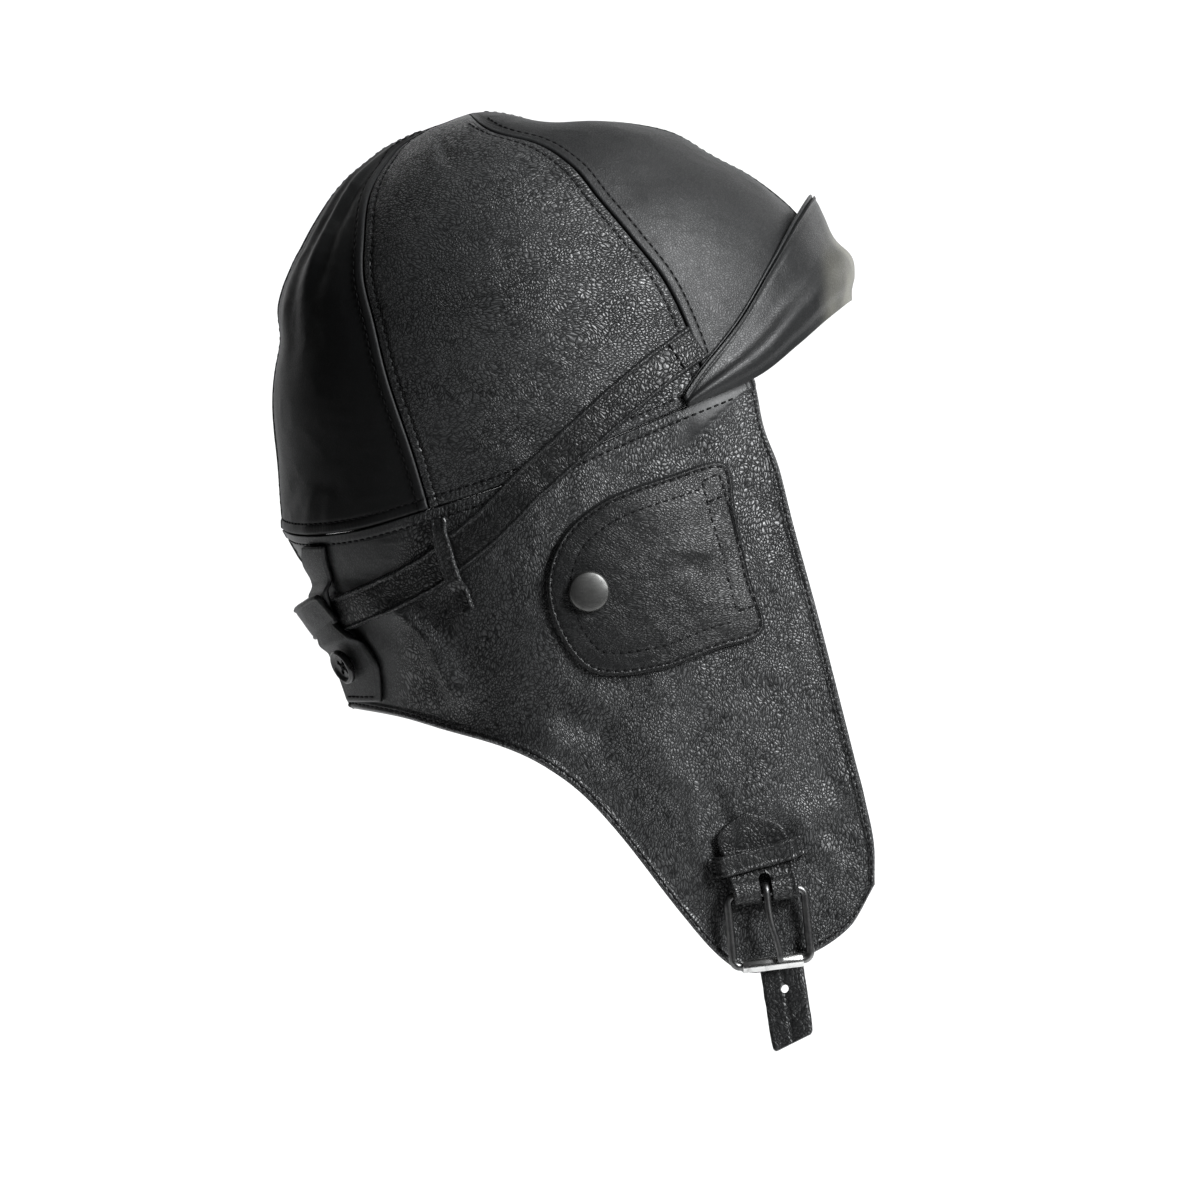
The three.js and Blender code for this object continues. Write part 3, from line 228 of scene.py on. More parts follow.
PEAK_PROFILE = table(
    "up out",
    (0, 0), (0.09, 0.18), (0.2, 0.68), (0.38, 1), (0.57, 0.22), (0.78, -0.1), (1, -0.36),
)
STRAP_ROUTE = table(
    "turn down",
    (56.4, -0.138), (66, -0.092), (76.3, -0.032), (83.8, 0.018), (91.2, 0.067),
    (98.8, 0.117), (105.1, 0.164), (111.7, 0.206), (118.9, 0.242), (126.7, 0.276),
    (136.6, 0.305), (147.2, 0.33), (160.8, 0.348), (180, 0.362),
)
LOOP_ROUTE = table(
    "turn down",
    (122.2, 0.179), (121, 0.218), (120, 0.258), (118.2, 0.299), (116.2, 0.346),
)
TAB_ROWS = table(
    "down far near",
    (0.228, 155.7, 164.5), (0.26, 158, 170), (0.295, 160, 172.5), (0.334, 162.3, 174),
    (0.366, 161.8, 175), (0.386, 157.2, 175.5), (0.408, 153.7, 176), (0.44, 152.3, 176.5),
    (0.471, 154.4, 176.5), (0.508, 157.8, 176.5),
)
PATCH_OUTLINE = table(
    "along up",
    (0.315, 0.448), (0.04, 0.395), (-0.26, 0.28), (-0.425, 0.13), (-0.495, -0.08),
    (-0.445, -0.32), (-0.29, -0.505), (0.0, -0.5), (0.26, -0.41), (0.485, -0.32),
    (0.42, -0.06), (0.36, 0.22),
)

# Small numeric helpers


def mix(a, b, share):
    return a + (b - a) * share


def length(vectors):
    return np.linalg.norm(vectors, axis=-1)


def ease(share):
    share = np.clip(share, 0, 1)
    return share * share * (3 - 2 * share)


def bell(distance, width):
    return np.exp(-(distance / width) ** 2)


def unit(vectors):
    return vectors / np.maximum(length(vectors), 1e-9)[..., None]


def read(rows, key, column, value):
    """Smooth curve through the rows of a table, at values of its key column"""
    keys = rows[key]
    values = rows[column]
    value = np.asarray(value, float)
    last = len(keys) - 1
    before = np.maximum(np.arange(last + 1) - 1, 0)
    after = np.minimum(np.arange(last + 1) + 1, last)
    tangent = (values[after] - values[before]) / (keys[after] - keys[before])
    row = np.clip(np.searchsorted(keys, value, side="left") - 1, 0, last - 1)
    width = keys[row + 1] - keys[row]
    t = np.clip((value - keys[row]) / width, 0, 1)
    t2 = t * t
    t3 = t2 * t
    return ((2 * t3 - 3 * t2 + 1) * values[row] + (t3 - 2 * t2 + t) * width * tangent[row]
            + (3 * t2 - 2 * t3) * values[row + 1] + (t3 - t2) * width * tangent[row + 1])


def read_share(rows, column, share):
    """Smooth curve through one column, its rows taken as evenly spaced from 0 to 1"""
    count = len(rows[column]) - 1
    counted = {"row": np.arange(count + 1, dtype=float), column: rows[column]}
    return read(counted, "row", column, np.asarray(share) * count)


def each_row(rows):
    """The rows of a table, each with its values by name"""
    for values in zip(*rows.values()):
        yield dict(zip(rows, values))


def run_along(points):
    """Length of a line of points from its start to each of them"""
    return np.concatenate([[0], np.cumsum(length(np.diff(points, axis=0)))])


def points_at(points, run, wanted):
    """Places at wanted lengths along a line of points"""
    return np.stack([np.interp(wanted, run, column) for column in points.T], -1)


def direction_at(line, i, closed=False):
    """Direction of a line at one of its points, taken from the points on both sides"""
    if closed:
        return unit(line[(i + 1) % len(line)] - line[i - 1])
    return unit(line[min(i + 1, len(line) - 1)] - line[max(i - 1, 0)])


@np.errstate(over="ignore")
def noise(points, size, seed=0):
    """Smooth noise from -1 to 1 whose lumps are about size mm across"""
    place = np.asarray(points, float) / size + 31.7 * (seed + 1)
    cell = np.floor(place)
    part = place - cell
    part = part * part * part * (part * (part * 6 - 15) + 10)
    cell = cell.astype(np.int64)
    total = 0
    for corner in product((0, 1), repeat=3):
        at = cell + np.array(corner)
        mixed = (at[..., 0] * 73856093) ^ (at[..., 1] * 19349663) ^ (at[..., 2] * 83492791)
        mixed = (mixed ^ (mixed >> 13)) * 1274126177
        value = ((mixed >> 8) & 0xFFFF) / 32767.5 - 1
        weight = 1
        for axis in range(3):
            weight = weight * (part[..., axis] if corner[axis] else 1 - part[..., axis])
        total = total + weight * value
    return total


def segment_distance(across, up, start, end):
    """Distance of points of a plane to a segment, and the share along it"""
    run = np.array(end, float) - np.array(start, float)
    share = ((across - start[0]) * run[0] + (up - start[1]) * run[1]) / (run @ run)
    share = np.clip(share, 0, 1)
    return np.hypot(across - start[0] - run[0] * share, up - start[1] - run[1] * share), share


# The crown: turn is degrees round the ring from the front, level is 0 at the
# crown's foot and 1 at the apex


def ring_value(column, level):
    return read(CROWN_RINGS, "row", column, np.asarray(level) * RINGS)


def crown_base(turn, level):
    turn, level = np.broadcast_arrays(np.asarray(turn, float), np.asarray(level, float))
    up = ring_value("up", level)
    middle = -RING_MIDDLE_BACK * CROWN_HALF_LENGTH * (1 - up)
    front = ring_value("front", level) * CROWN_HALF_LENGTH - middle
    back = ring_value("back", level) * CROWN_HALF_LENGTH + middle
    side = ring_value("side", level) * CROWN_HALF_WIDTH
    angle = np.radians(turn)
    reach = np.where(np.cos(angle) > 0, front, back)
    ahead = middle + reach * np.cos(angle)
    foot = read(FOOT_LINE, "turn", "rise", np.abs(turn))
    rise = CROWN_HEIGHT * (up + foot * (1 - up) ** 2)
    tilt = math.radians(CROWN_TILT)
    fore = ahead * math.cos(tilt) - rise * math.sin(tilt)
    height = ahead * math.sin(tilt) + rise * math.cos(tilt)
    return np.stack([side * np.sin(angle), -fore, height], -1)


def crown_normal(turn, level):
    level = np.minimum(level, 0.985)
    along = crown_base(turn + 0.5, level) - crown_base(turn - 0.5, level)
    upward = crown_base(turn, level + 0.01) - crown_base(turn, np.maximum(level - 0.01, 0))
    return unit(np.cross(along, upward))


def degree_length(turn, level):
    """Length in mm of one degree round the crown"""
    return length(crown_base(turn + 0.5, level) - crown_base(turn - 0.5, level))


def seam_turns(level):
    return [0 * np.asarray(level), ring_value("front_seam", level),
            ring_value("rear_seam", level), 0 * np.asarray(level) + 180]


def crown_relief(turn, level):
    """Height over the plain crown: the gores' bulge and the dents"""
    edges = seam_turns(level)
    share = np.select(
        [turn <= edges[1], turn <= edges[2]],
        [turn / edges[1], (turn - edges[1]) / (edges[2] - edges[1])],
        (turn - edges[2]) / (180 - edges[2]))
    fade = np.minimum(1, 0.25 + level * 2) * np.minimum(1, (1 - level) * 4)
    relief = GORE_BULGE * np.sin(np.pi * np.clip(share, 0, 1)) * fade
    for dent in each_row(CROWN_DENTS):
        across = bell(turn - dent["turn"], dent["wide"])
        relief = relief - (dent["deep"] * CROWN_HEIGHT * across
                           * bell(level - dent["level"], dent["tall"]))
    return relief


# A side panel: round runs from the nape at 0 to the face edge at 1, fall from
# the crown's foot at 0 to the hem at 1


def foot_turn(round_):
    return np.where(round_ < 0.5, 180 - 180 * round_,
                    90 - (90 - TEMPLE_TURN) * (round_ - 0.5) / 0.5)


def hem_place(round_):
    nape = HEM_LINE["fore"][0]
    face = HEM_LINE["fore"][-1]
    angle = np.radians(180 * np.minimum(round_, 0.5))
    ahead = mix(PANEL_MID_FORE, face, (round_ - 0.5) / 0.5)
    turned = np.maximum(np.cos(angle), 0) ** (2 / NAPE_ROUNDNESS)
    behind = PANEL_MID_FORE - (PANEL_MID_FORE - nape) * turned
    fore = np.where(round_ < 0.5, behind, ahead)
    return fore, read(HEM_LINE, "fore", "down", fore)


def panel_base(round_, fall):
    round_, fall = np.broadcast_arrays(np.asarray(round_, float), np.asarray(fall, float))
    foot = crown_base(foot_turn(round_), 0 * fall)
    tops = {"fore": -foot[..., 1] / CROWN_HALF_LENGTH, "down": -foot[..., 2] / SKIRT_DEPTH}
    hem_fore, hem_down = hem_place(round_)
    hems = {"fore": hem_fore, "down": hem_down}
    blend = ease(round_)
    places = {}
    for column in ("fore", "down"):
        nape = (read(NAPE_LINE, "share", column, fall)
                - mix(NAPE_LINE[column][0], NAPE_LINE[column][-1], fall))
        face = (read(FACE_LINE, "share", column, fall)
                - mix(FACE_LINE[column][0], FACE_LINE[column][-1], fall))
        places[column] = mix(tops[column], hems[column], fall) + mix(nape, face, blend)
    drop = (hem_down - HEM_LINE["down"][0]) / (1 - HEM_LINE["down"][0])
    narrowing = mix(NAPE_NARROWING, CHIN_NARROWING, np.maximum(0, drop))
    width = CROWN_HALF_WIDTH * (1 - narrowing * fall * fall)
    angle = np.radians(180 * np.minimum(round_, 0.5))
    rear = np.maximum(np.sin(angle), 0) ** (2 / mix(2, NAPE_ROUNDNESS, fall))
    turn_in = mix(90 - TEMPLE_TURN, CHIN_TURN_IN, fall)
    ahead = np.cos(np.radians(turn_in) * (round_ - 0.5) / 0.5)
    across = np.where(round_ < 0.5, rear, ahead)
    return np.stack([width * across, -places["fore"] * CROWN_HALF_LENGTH,
                     -places["down"] * SKIRT_DEPTH], -1)


def panel_normal(round_, fall):
    step = 0.015
    along = (panel_base(np.minimum(round_ + step, 1), fall)
             - panel_base(np.maximum(round_ - step, 0), fall))
    downward = (panel_base(round_, np.minimum(fall + step, 1))
                - panel_base(round_, np.maximum(fall - step, 0)))
    normal = np.cross(along, downward)
    normal[..., 0] = np.where(round_ < 0.001, 0, normal[..., 0])
    normal = unit(normal)
    near = np.maximum(0, 1 - fall * 12)[..., None]
    return unit(mix(normal, crown_normal(foot_turn(round_), 0 * fall), near))


def panel_relief(points):
    """Height of the panels' long folds over the plain panel"""
    fore = -points[..., 1] / CROWN_HALF_LENGTH
    down = -points[..., 2] / SKIRT_DEPTH
    scale = SKIRT_DEPTH / CROWN_HALF_LENGTH
    relief = 0
    for fold in each_row(PANEL_FOLDS):
        distance, _ = segment_distance(fore, down * scale, (fold["fore"], fold["down"] * scale),
                                       (fold["to_fore"], fold["to_down"] * scale))
        relief = relief + fold["stand"] * SKIRT_DEPTH * bell(distance, fold["width"] * scale)
    return relief


def panel_plain(round_, fall):
    """A panel with its folds as its solid has it, with the normals"""
    base = panel_base(round_, fall)
    normal = panel_normal(round_, fall)
    fade = np.minimum(1, fall * 8) * np.minimum(1, round_ * 6)
    return base, normal, panel_relief(base) * fade


RUN_STEP = 0.06


def panel_run(near, far):
    """Length in mm of a whole panel, measured between two places beside an edge"""
    return length(panel_base(*near) - panel_base(*far)) / RUN_STEP


def panel_runs(round_, fall):
    """Length of the panel across its hem, its face edge, the nape seam and the crown's foot"""
    return (panel_run((round_, 1), (round_, 1 - RUN_STEP)), panel_run((1, fall), (1 - RUN_STEP, fall)),
            panel_run((RUN_STEP, fall), (0, fall)), panel_run((round_, RUN_STEP), (round_, 0)))


# What the finished leather adds to the plain skin


def seam_shape(distance, row=SEAM_ROW, strip=0.4):
    """Height beside a sewn seam: a raised strip, its stitch channel, the narrow gap"""
    raised = strip * ease((row + 1.2 - distance) / 1.2)
    channel = -0.5 * bell(distance - row, 0.5)
    edge = -1.2 * bell(distance, 0.34)
    return raised + channel + edge


def gathered(distance, row):
    """How far the leather is gathered between a stitch row and the edge"""
    return ease(distance / 0.9) * ease((row + 0.8 - distance) / 1.0)


# Long soft creases of the crown, in the side view: places in mm ahead of and
# below the origin, width across and height in mm
CROWN_CREASES = table(
    "fore down to_fore to_down width stand",
    (-43, -96, -40, -88, 2.2, -0.9),
    (-46, -99, -45, -88, 2.4, 0.7),
    (20, 2, 42, -10, 3.0, 0.7),
    (24, -4, 50, -17, 2.4, -0.6),
    (-8, -20, 30, -32, 5.0, 0.5),
    (-30, -6, 10, -22, 5.0, -0.5),
    (-52, -40, -20, -58, 8.0, 0.6),
    (8, -60, 34, -44, 9.0, 0.9),
    (-84, -78, -72, -90, 3.0, 1.0),
    (-90, -60, -76, -78, 3.4, -0.9),
    (-93, -46, -80, -66, 3.0, 0.9),
    (-90, 38, -87, 26, 2.0, 0.7),
    (-83, 39, -82, 27, 2.0, 0.6),
    (-97, 33, -93, 22, 2.2, -0.6),
)
PANEL_CREASES = table(
    "fore down to_fore to_down width stand",
    (-56, 66, -46, 77, 2.6, 2.2),
    (-46, 77, -37, 97, 3.2, 2.0),
    (-52, 74, -44, 94, 3.0, -1.4),
    (82, 146, 100, 160, 3.0, 0.8),
    (85, 140, 101, 150, 2.2, -0.6),
    (70, 132, 92, 150, 5.0, 0.6),
    (88, 118, 99, 138, 3.4, -0.7),
    (60, 20, 72, 34, 4.0, -0.9),
    (62, 34, 76, 62, 3.4, 0.6),
    (76, 52, 84, 84, 3.6, 0.5),
    (-20, 60, -14, 92, 7.0, -0.6),
    (10, 98, 46, 132, 6.0, 0.6),
    (30, 108, 60, 112, 7.0, -0.5),
    (52, 130, 60, 150, 2.6, -1.2),
    (44, 128, 48, 160, 3.0, 0.6),
    (88, 165, 76, 186, 3.0, 0.5),
)


def creases(rows, points):
    """Height of soft creases, which fade towards their ends"""
    relief = 0
    for row in each_row(rows):
        distance, share = segment_distance(-points[..., 1], -points[..., 2], (row["fore"], row["down"]),
                                           (row["to_fore"], row["to_down"]))
        fade = 0.35 + 0.65 * np.sin(np.pi * np.clip(share, 0.04, 0.96)) ** 0.6
        relief = relief + row["stand"] * bell(distance, row["width"]) * fade
    return relief


def soft_unevenness(points, seed):
    """Shallow waves of leather that has been worn"""
    stretched = points * np.array([1.0, 1.0, 0.7])
    across = points * np.array([1.0, 0.8, 1.5])
    broad = 0.5 * noise(stretched, size=30, seed=seed) + 0.22 * noise(stretched, size=13, seed=seed + 1)
    ridges = 1 - np.abs(noise(across, size=8.5, seed=seed + 2))
    return broad + 0.16 * (ridges ** 3 - 0.35)


CREST_RUN = 185  # about the length in mm of a gore from foot to apex
DEGREE_RUN = 1.45  # about the length in mm of a degree at the crown's foot
LEVEL_STEP = 0.01


def crown_skin(turn, level):
    """Finished outer surface of the crown, its normals and what its leather needs to know"""
    turn, level = np.broadcast_arrays(np.asarray(turn, float), np.asarray(level, float))
    base = crown_base(turn, level)
    normal = crown_normal(turn, level)
    arc = degree_length(turn, level)
    above = np.minimum(level + LEVEL_STEP, 1)
    below = np.maximum(level - LEVEL_STEP, 0)
    rise = length(crown_base(turn, above) - crown_base(turn, below)) / (above - below)
    tight = np.minimum(1, arc * 60 / 30)
    edges = seam_turns(level)
    seams = np.full(turn.shape, 1e9)
    for edge in edges:
        seams = np.minimum(seams, np.abs(turn - edge) * arc)
    foot = level * rise
    soft = soft_unevenness(base, 3) * ease(seams / 7) * ease((1 - level) * 6)
    detail = soft + creases(CROWN_CREASES, base) * ease(seams / 5 + 0.2)
    on_side = ((turn > edges[1]) & (turn < edges[2])) * 1.0
    strip = mix(0.5, 0.12, on_side)
    detail = detail + seam_shape(seams / np.maximum(tight, 0.15), strip=strip) * tight
    detail = detail + seam_shape(foot, strip=0.25) * ease(seams / 3 + 0.3)
    rubbed = bell(seams - 0.8, 0.6) * 0.9 + bell(foot - 0.8, 0.6) * 0.6
    # painted_seam_shade: painted shade in the seam gaps and stitch channels, which the leather shader
    # darkens and makes less reflective
    painted_seam_shade = bell(seams, 0.36) + bell(foot, 0.4) + 0.4 * bell(seams - SEAM_ROW, 0.5)
    beside_seam = gathered(seams, SEAM_ROW) * mix(0.15, 1.0, on_side) * ease(foot / 3)
    beside_foot = gathered(foot, SEAM_ROW) * 0.7
    relief = crown_relief(turn, level) + detail
    values = {
        "rubbed": np.clip(rubbed, 0, 1),
        "gathers": np.maximum(beside_seam, beside_foot),
        "run": np.where(beside_seam > beside_foot, level * CREST_RUN, turn * DEGREE_RUN),
        "painted_seam_shade": np.clip(painted_seam_shade, 0, 1),
    }
    return base + normal * relief[..., None], normal, values


# The smooth zone at the temple, where the edge of the peak's seam lies under
# the panel, bounded by this line of the side view
TEMPLE_LINE = [(43.0, 9.5), (49, 3.5), (58, -4.5), (66.5, -13.5)]


def temple_zone(points):
    fore = -points[..., 1]
    down = -points[..., 2]
    low = np.interp(fore, [p[0] for p in TEMPLE_LINE], [p[1] for p in TEMPLE_LINE])
    inside = ease((low - down) / 1.2 + 0.5)
    return inside * ease((fore - 36) / 9)


def panel_skin(round_, fall):
    """Finished outer surface of a panel, its normals and what its leather needs to know"""
    round_, fall = np.broadcast_arrays(np.asarray(round_, float), np.asarray(fall, float))
    base, normal, plain = panel_plain(round_, fall)
    hem_run, face_run, nape_run, foot_run = panel_runs(round_, fall)
    hem = (1 - fall) * hem_run
    face = (1 - round_) * face_run
    nape = round_ * nape_run
    foot = fall * foot_run
    rim = np.minimum(hem, face)
    free = ease(rim / 9) * ease(foot / 8) * ease(nape / 8 + 0.3)
    zone = temple_zone(base)
    detail = soft_unevenness(base, 13) * (0.25 + 0.75 * free) * (1 - zone)
    detail = detail + creases(PANEL_CREASES, base) * (0.3 + 0.7 * free) * (1 - zone)
    detail = detail + 0.4 * zone * ease(foot / 4)
    band = 0.7 * ease((HEM + 0.9 - rim) / 1.0) - 0.5 * bell(rim - HEM_ROW, 0.42)
    rolled = -1.25 * bell(rim, 0.8)
    detail = detail + band + rolled
    detail = detail + seam_shape(foot, strip=0.3) * (1 - zone)
    detail = detail + seam_shape(nape, NAPE_ROW)
    rubbed = bell(rim - 0.5, 0.9) * 0.8 + bell(foot - 0.8, 0.6) * 0.6 + bell(nape - 0.9, 0.8) * 0.5
    rubbed = rubbed + 0.25 * bell(zone - 0.6, 0.3)
    # painted_seam_shade: painted shade in the foot seam's gap and the hem's stitch channel
    painted_seam_shade = bell(foot, 0.5) * (1 - zone) + 0.5 * bell(rim - HEM_ROW, 0.5)
    relief = plain + detail
    beside_rim = gathered(rim, HEM_ROW) * 0.8
    beside_foot = gathered(foot, SEAM_ROW) * (1 - zone)
    rim_run = np.where(hem < face, -base[..., 1], base[..., 2])
    values = {
        "rubbed": np.clip(rubbed, 0, 1),
        "gathers": np.maximum(beside_rim, beside_foot),
        "run": np.where(beside_foot > beside_rim, base[..., 1], rim_run),
        "painted_seam_shade": np.clip(painted_seam_shade, 0, 1),
    }
    return base + normal * relief[..., None], normal, values


# Materials


def node(tree, kind, **settings):
    made = tree.nodes.new("ShaderNode" + kind)
    for name, value in settings.items():
        setattr(made, name, value)
    return made


def set_input(tree, socket, value):
    """Gives an input a number, a colour or another node's output"""
    if isinstance(value, (int, float)):
        socket.default_value = value
    elif isinstance(value, tuple):
        socket.default_value = (*value, 1)
    else:
        tree.links.new(value, socket)


def arithmetic(tree, operation, *values):
    """A sum of one kind over sockets and numbers"""
    made = node(tree, "Math", operation=operation)
    for socket, value in zip(made.inputs, values):
        set_input(tree, socket, value)
    return made.outputs[0]


def span(tree, value, low, high, to_low=0.0, to_high=1.0):
    made = node(tree, "MapRange")
    tree.links.new(value, made.inputs["Value"])
    for name, number in (("From Min", low), ("From Max", high),
                         ("To Min", to_low), ("To Max", to_high)):
        made.inputs[name].default_value = number
    return made.outputs["Result"]


def colour_mix(tree, share, first, second):
    made = node(tree, "Mix", data_type="RGBA")
    for name, value in (("Factor", share), ("A", first), ("B", second)):
        set_input(tree, made.inputs[name], value)
    return made.outputs["Result"]


def attribute(tree, name):
    """A value that make_piece wrote for each point; 0 where a piece has none"""
    return node(tree, "Attribute", attribute_name=name).outputs["Fac"]


def object_place(tree):
    return node(tree, "TexCoord").outputs["Object"]


def scaled_place(tree, place, scale):
    made = node(tree, "VectorMath", operation="MULTIPLY")
    tree.links.new(place, made.inputs[0])
    made.inputs[1].default_value = scale
    return made.outputs[0]


def noise_texture(tree, place, scale, detail, distortion=0.0):
    made = node(tree, "TexNoise")
    for name, value in (("Vector", place), ("Scale", scale), ("Detail", detail),
                        ("Distortion", distortion)):
        set_input(tree, made.inputs[name], value)
    return made


def add_bump(tree, shader, height, distance, strength=1.0):
    """Tips the shader's normals by a height and returns them"""
    bump = node(tree, "Bump")
    for name, value in (("Strength", strength), ("Distance", distance), ("Height", height)):
        set_input(tree, bump.inputs[name], value)
    tree.links.new(bump.outputs["Normal"], shader.inputs["Normal"])
    return bump.outputs["Normal"]


def finish_shader(tree, shader, **inputs):
    """Sets the shader's inputs, whose names here have _ for a space"""
    for name, value in inputs.items():
        set_input(tree, shader.inputs[name.replace("_", " ")], value)


def new_material(name):
    material = bpy.data.materials.new(name)
    material.use_nodes = True
    tree = material.node_tree
    return material, tree, tree.nodes["Principled BSDF"]


GRAIN_WANDER = 13  # how far in mm broad noise shifts the pebbles


def leather(name, colour=(0.0065, 0.0069, 0.0072), worn=(0.03, 0.031, 0.032), grain=1.0, cell=1.2,
            roughness=0.4, stretch=(1.0, 1.0, 1.0), tint=None, deep=0.9, polish=0.25,
            shine=0.55):
    """Black nappa: a net of fine dark wrinkles round flat pebbles, gathers beside the stitch rows,
    rubbed edges, and painted shade in the wrinkles, between the gathers, in the seams and on smooth
    leather"""
    material, tree, shader = new_material(name)
    times = partial(arithmetic, tree, "MULTIPLY")
    times_plus = partial(arithmetic, tree, "MULTIPLY_ADD")
    less = partial(arithmetic, tree, "SUBTRACT", 1.0)
    larger = partial(arithmetic, tree, "MAXIMUM")
    place = scaled_place(tree, object_place(tree), [1 / MM * s for s in stretch])
    wander = noise_texture(tree, place, scale=0.06, detail=3)
    shifted = node(tree, "VectorMath", operation="MULTIPLY_ADD")
    tree.links.new(wander.outputs["Color"], shifted.inputs[0])
    shifted.inputs[1].default_value = (GRAIN_WANDER, GRAIN_WANDER, GRAIN_WANDER)
    tree.links.new(place, shifted.inputs[2])

    def cells(size):
        made = node(tree, "TexVoronoi", feature="DISTANCE_TO_EDGE")
        made.inputs["Scale"].default_value = 1 / size
        tree.links.new(shifted.outputs[0], made.inputs["Vector"])
        return made.outputs["Distance"]

    from_edge = cells(cell)
    open_top = span(tree, from_edge, 0.0, 0.3)
    reach = span(tree, from_edge, 0.0, 0.5)
    pebble = times(reach, arithmetic(tree, "SUBTRACT", 2.0, reach))
    small = span(tree, cells(cell * 0.45), 0.0, 0.3)
    fine = noise_texture(tree, place, scale=1.6, detail=2).outputs["Fac"]
    broad = noise_texture(tree, place, scale=0.055, detail=2).outputs["Fac"]
    smooth = attribute(tree, "smooth")
    grained = span(tree, smooth, 0.0, 1.0, 1.0, 0.1)
    calm = times(span(tree, broad, 0.32, 0.68, 0.86, 1.06), grained)
    phase = times(attribute(tree, "run"), 2 * math.pi / GATHER_PITCH)
    phase = times_plus(wander.outputs["Fac"], 26.0, phase)
    wave = times_plus(arithmetic(tree, "SINE", phase), 0.5, 0.5)
    uneven = span(tree, broad, 0.35, 0.6, 0.3, 1.0)
    gathers = times(times(attribute(tree, "gathers"), uneven), grained)
    height = times_plus(fine, 0.25, times_plus(small, 0.16, pebble))
    height = times_plus(times(gathers, wave), 1.1, times(height, calm))
    normal = add_bump(tree, shader, height, distance=0.00014 * grain)

    # Painted shade: the grain's wrinkles (partly their own dark), the valleys between the gathers and the
    # seam grooves get a darker colour and lose most of their reflection
    wrinkle = times(times(less(open_top), calm), deep)
    between = times(times(gathers, less(wave)), 0.7)
    grain_dark_and_painted_shade = larger(wrinkle, larger(attribute(tree, "painted_seam_shade"), between))
    # Share of reflection kept: cut by the painted shade, and cut further on smooth leather as painted
    # shade
    unshaded_share = times(span(tree, grain_dark_and_painted_shade, 0.0, 1.0, 1.0, 0.05), span(tree, smooth, 0.0, 1.0, 1.0, 0.24))
    rub = times(attribute(tree, "rubbed"), span(tree, fine, 0.35, 0.7, 0.15, 0.8))
    # Smooth leather is also painted darker: painted shade over the helmet's rear and under the peak
    base = colour_mix(tree, smooth, colour, tuple(c * 0.4 for c in colour))
    base = colour_mix(tree, grain_dark_and_painted_shade, base, tuple(c * 0.2 for c in colour))
    base = colour_mix(tree, rub, base, worn)
    if tint is not None:
        base = colour_mix(tree, attribute(tree, "faded"), base, tint)
    rough = times_plus(fine, 0.1, times_plus(grain_dark_and_painted_shade, 0.3, roughness - 0.04))
    finish_shader(tree, shader, Base_Color=base, Roughness=times_plus(rub, -0.1, rough),
                  Specular_IOR_Level=times(unshaded_share, shine), Coat_Weight=times(unshaded_share, polish),
                  Coat_Roughness=0.3, Coat_Normal=normal)
    return material


def thread_material():
    """Twisted black thread"""
    material, tree, shader = new_material("thread")
    twist = node(tree, "TexWave", bands_direction="DIAGONAL")
    twist.inputs["Scale"].default_value = 1800
    twist.inputs["Distortion"].default_value = 1.5
    tree.links.new(object_place(tree), twist.inputs["Vector"])
    add_bump(tree, shader, twist.outputs["Fac"], distance=0.00008)
    base = colour_mix(tree, twist.outputs["Fac"], (0.002, 0.002, 0.0022), (0.005, 0.005, 0.0055))
    finish_shader(tree, shader, Base_Color=base, Roughness=0.65, Specular_IOR_Level=0.16)
    return material


def metal(name, dark, light, roughness, tarnish=0.5):
    """Plated wire: fine brushing, darker tarnish in patches and small scratches"""
    material, tree, shader = new_material(name)
    place = object_place(tree)
    patches = noise_texture(tree, place, scale=260, detail=5).outputs["Fac"]
    streaks = scaled_place(tree, place, (900, 260, 4200))
    brushed = noise_texture(tree, streaks, scale=1, detail=3).outputs["Fac"]
    share = span(tree, patches, 0.5 - 0.3 * tarnish, 0.72)
    rough = arithmetic(tree, "MULTIPLY_ADD", brushed, 0.16, roughness - 0.06)
    rough = arithmetic(tree, "MULTIPLY_ADD", share, 0.12, rough)
    finish_shader(tree, shader, Base_Color=colour_mix(tree, share, light, dark), Metallic=1.0,
                  Roughness=rough)
    add_bump(tree, shader, brushed, distance=0.00001, strength=0.5)
    return material


def horn_material():
    """Polished dark horn with a faint swirl"""
    material, tree, shader = new_material("button_horn")
    place = object_place(tree)
    swirl = noise_texture(tree, place, scale=420, detail=4, distortion=1.4).outputs["Fac"]
    base = colour_mix(tree, swirl, (0.006, 0.006, 0.0065), (0.022, 0.021, 0.021))
    finish_shader(tree, shader, Base_Color=base, Roughness=span(tree, swirl, 0.3, 0.7, 0.24, 0.42),
                  Coat_Weight=0.2, Coat_Roughness=0.15)
    return material


SIDE_LEATHER = leather("leather_grained", colour=(0.031, 0.032, 0.0327), grain=1.3, deep=1.0,
                       cell=1.05, stretch=(1.0, 0.68, 1.1), polish=0.5, shine=0.66)
CALM_LEATHER = leather("leather_calm", colour=(0.0105, 0.0109, 0.0112), grain=0.4, cell=0.9,
                       roughness=0.48, deep=0.3, polish=0.1, shine=0.4)
PANEL_LEATHER = leather("leather_panel", colour=(0.031, 0.032, 0.0327), grain=1.2, deep=1.0,
                        cell=1.05, stretch=(1.0, 1.1, 0.7), polish=0.46, shine=0.76)
COVER_LEATHER = leather("leather_ear_cover", grain=0.8, cell=0.95, stretch=(1.0, 0.7, 1.2), deep=0.75)
STRAP_LEATHER = leather("leather_strap", colour=(0.0085, 0.0088, 0.009), grain=1.15, cell=1.4,
                        roughness=0.38, polish=0.36)
PEAK_LEATHER = leather("leather_peak", grain=0.4, cell=0.9, roughness=0.44, deep=0.35,
                       tint=(0.33, 0.32, 0.255), polish=0.12, shine=0.45)
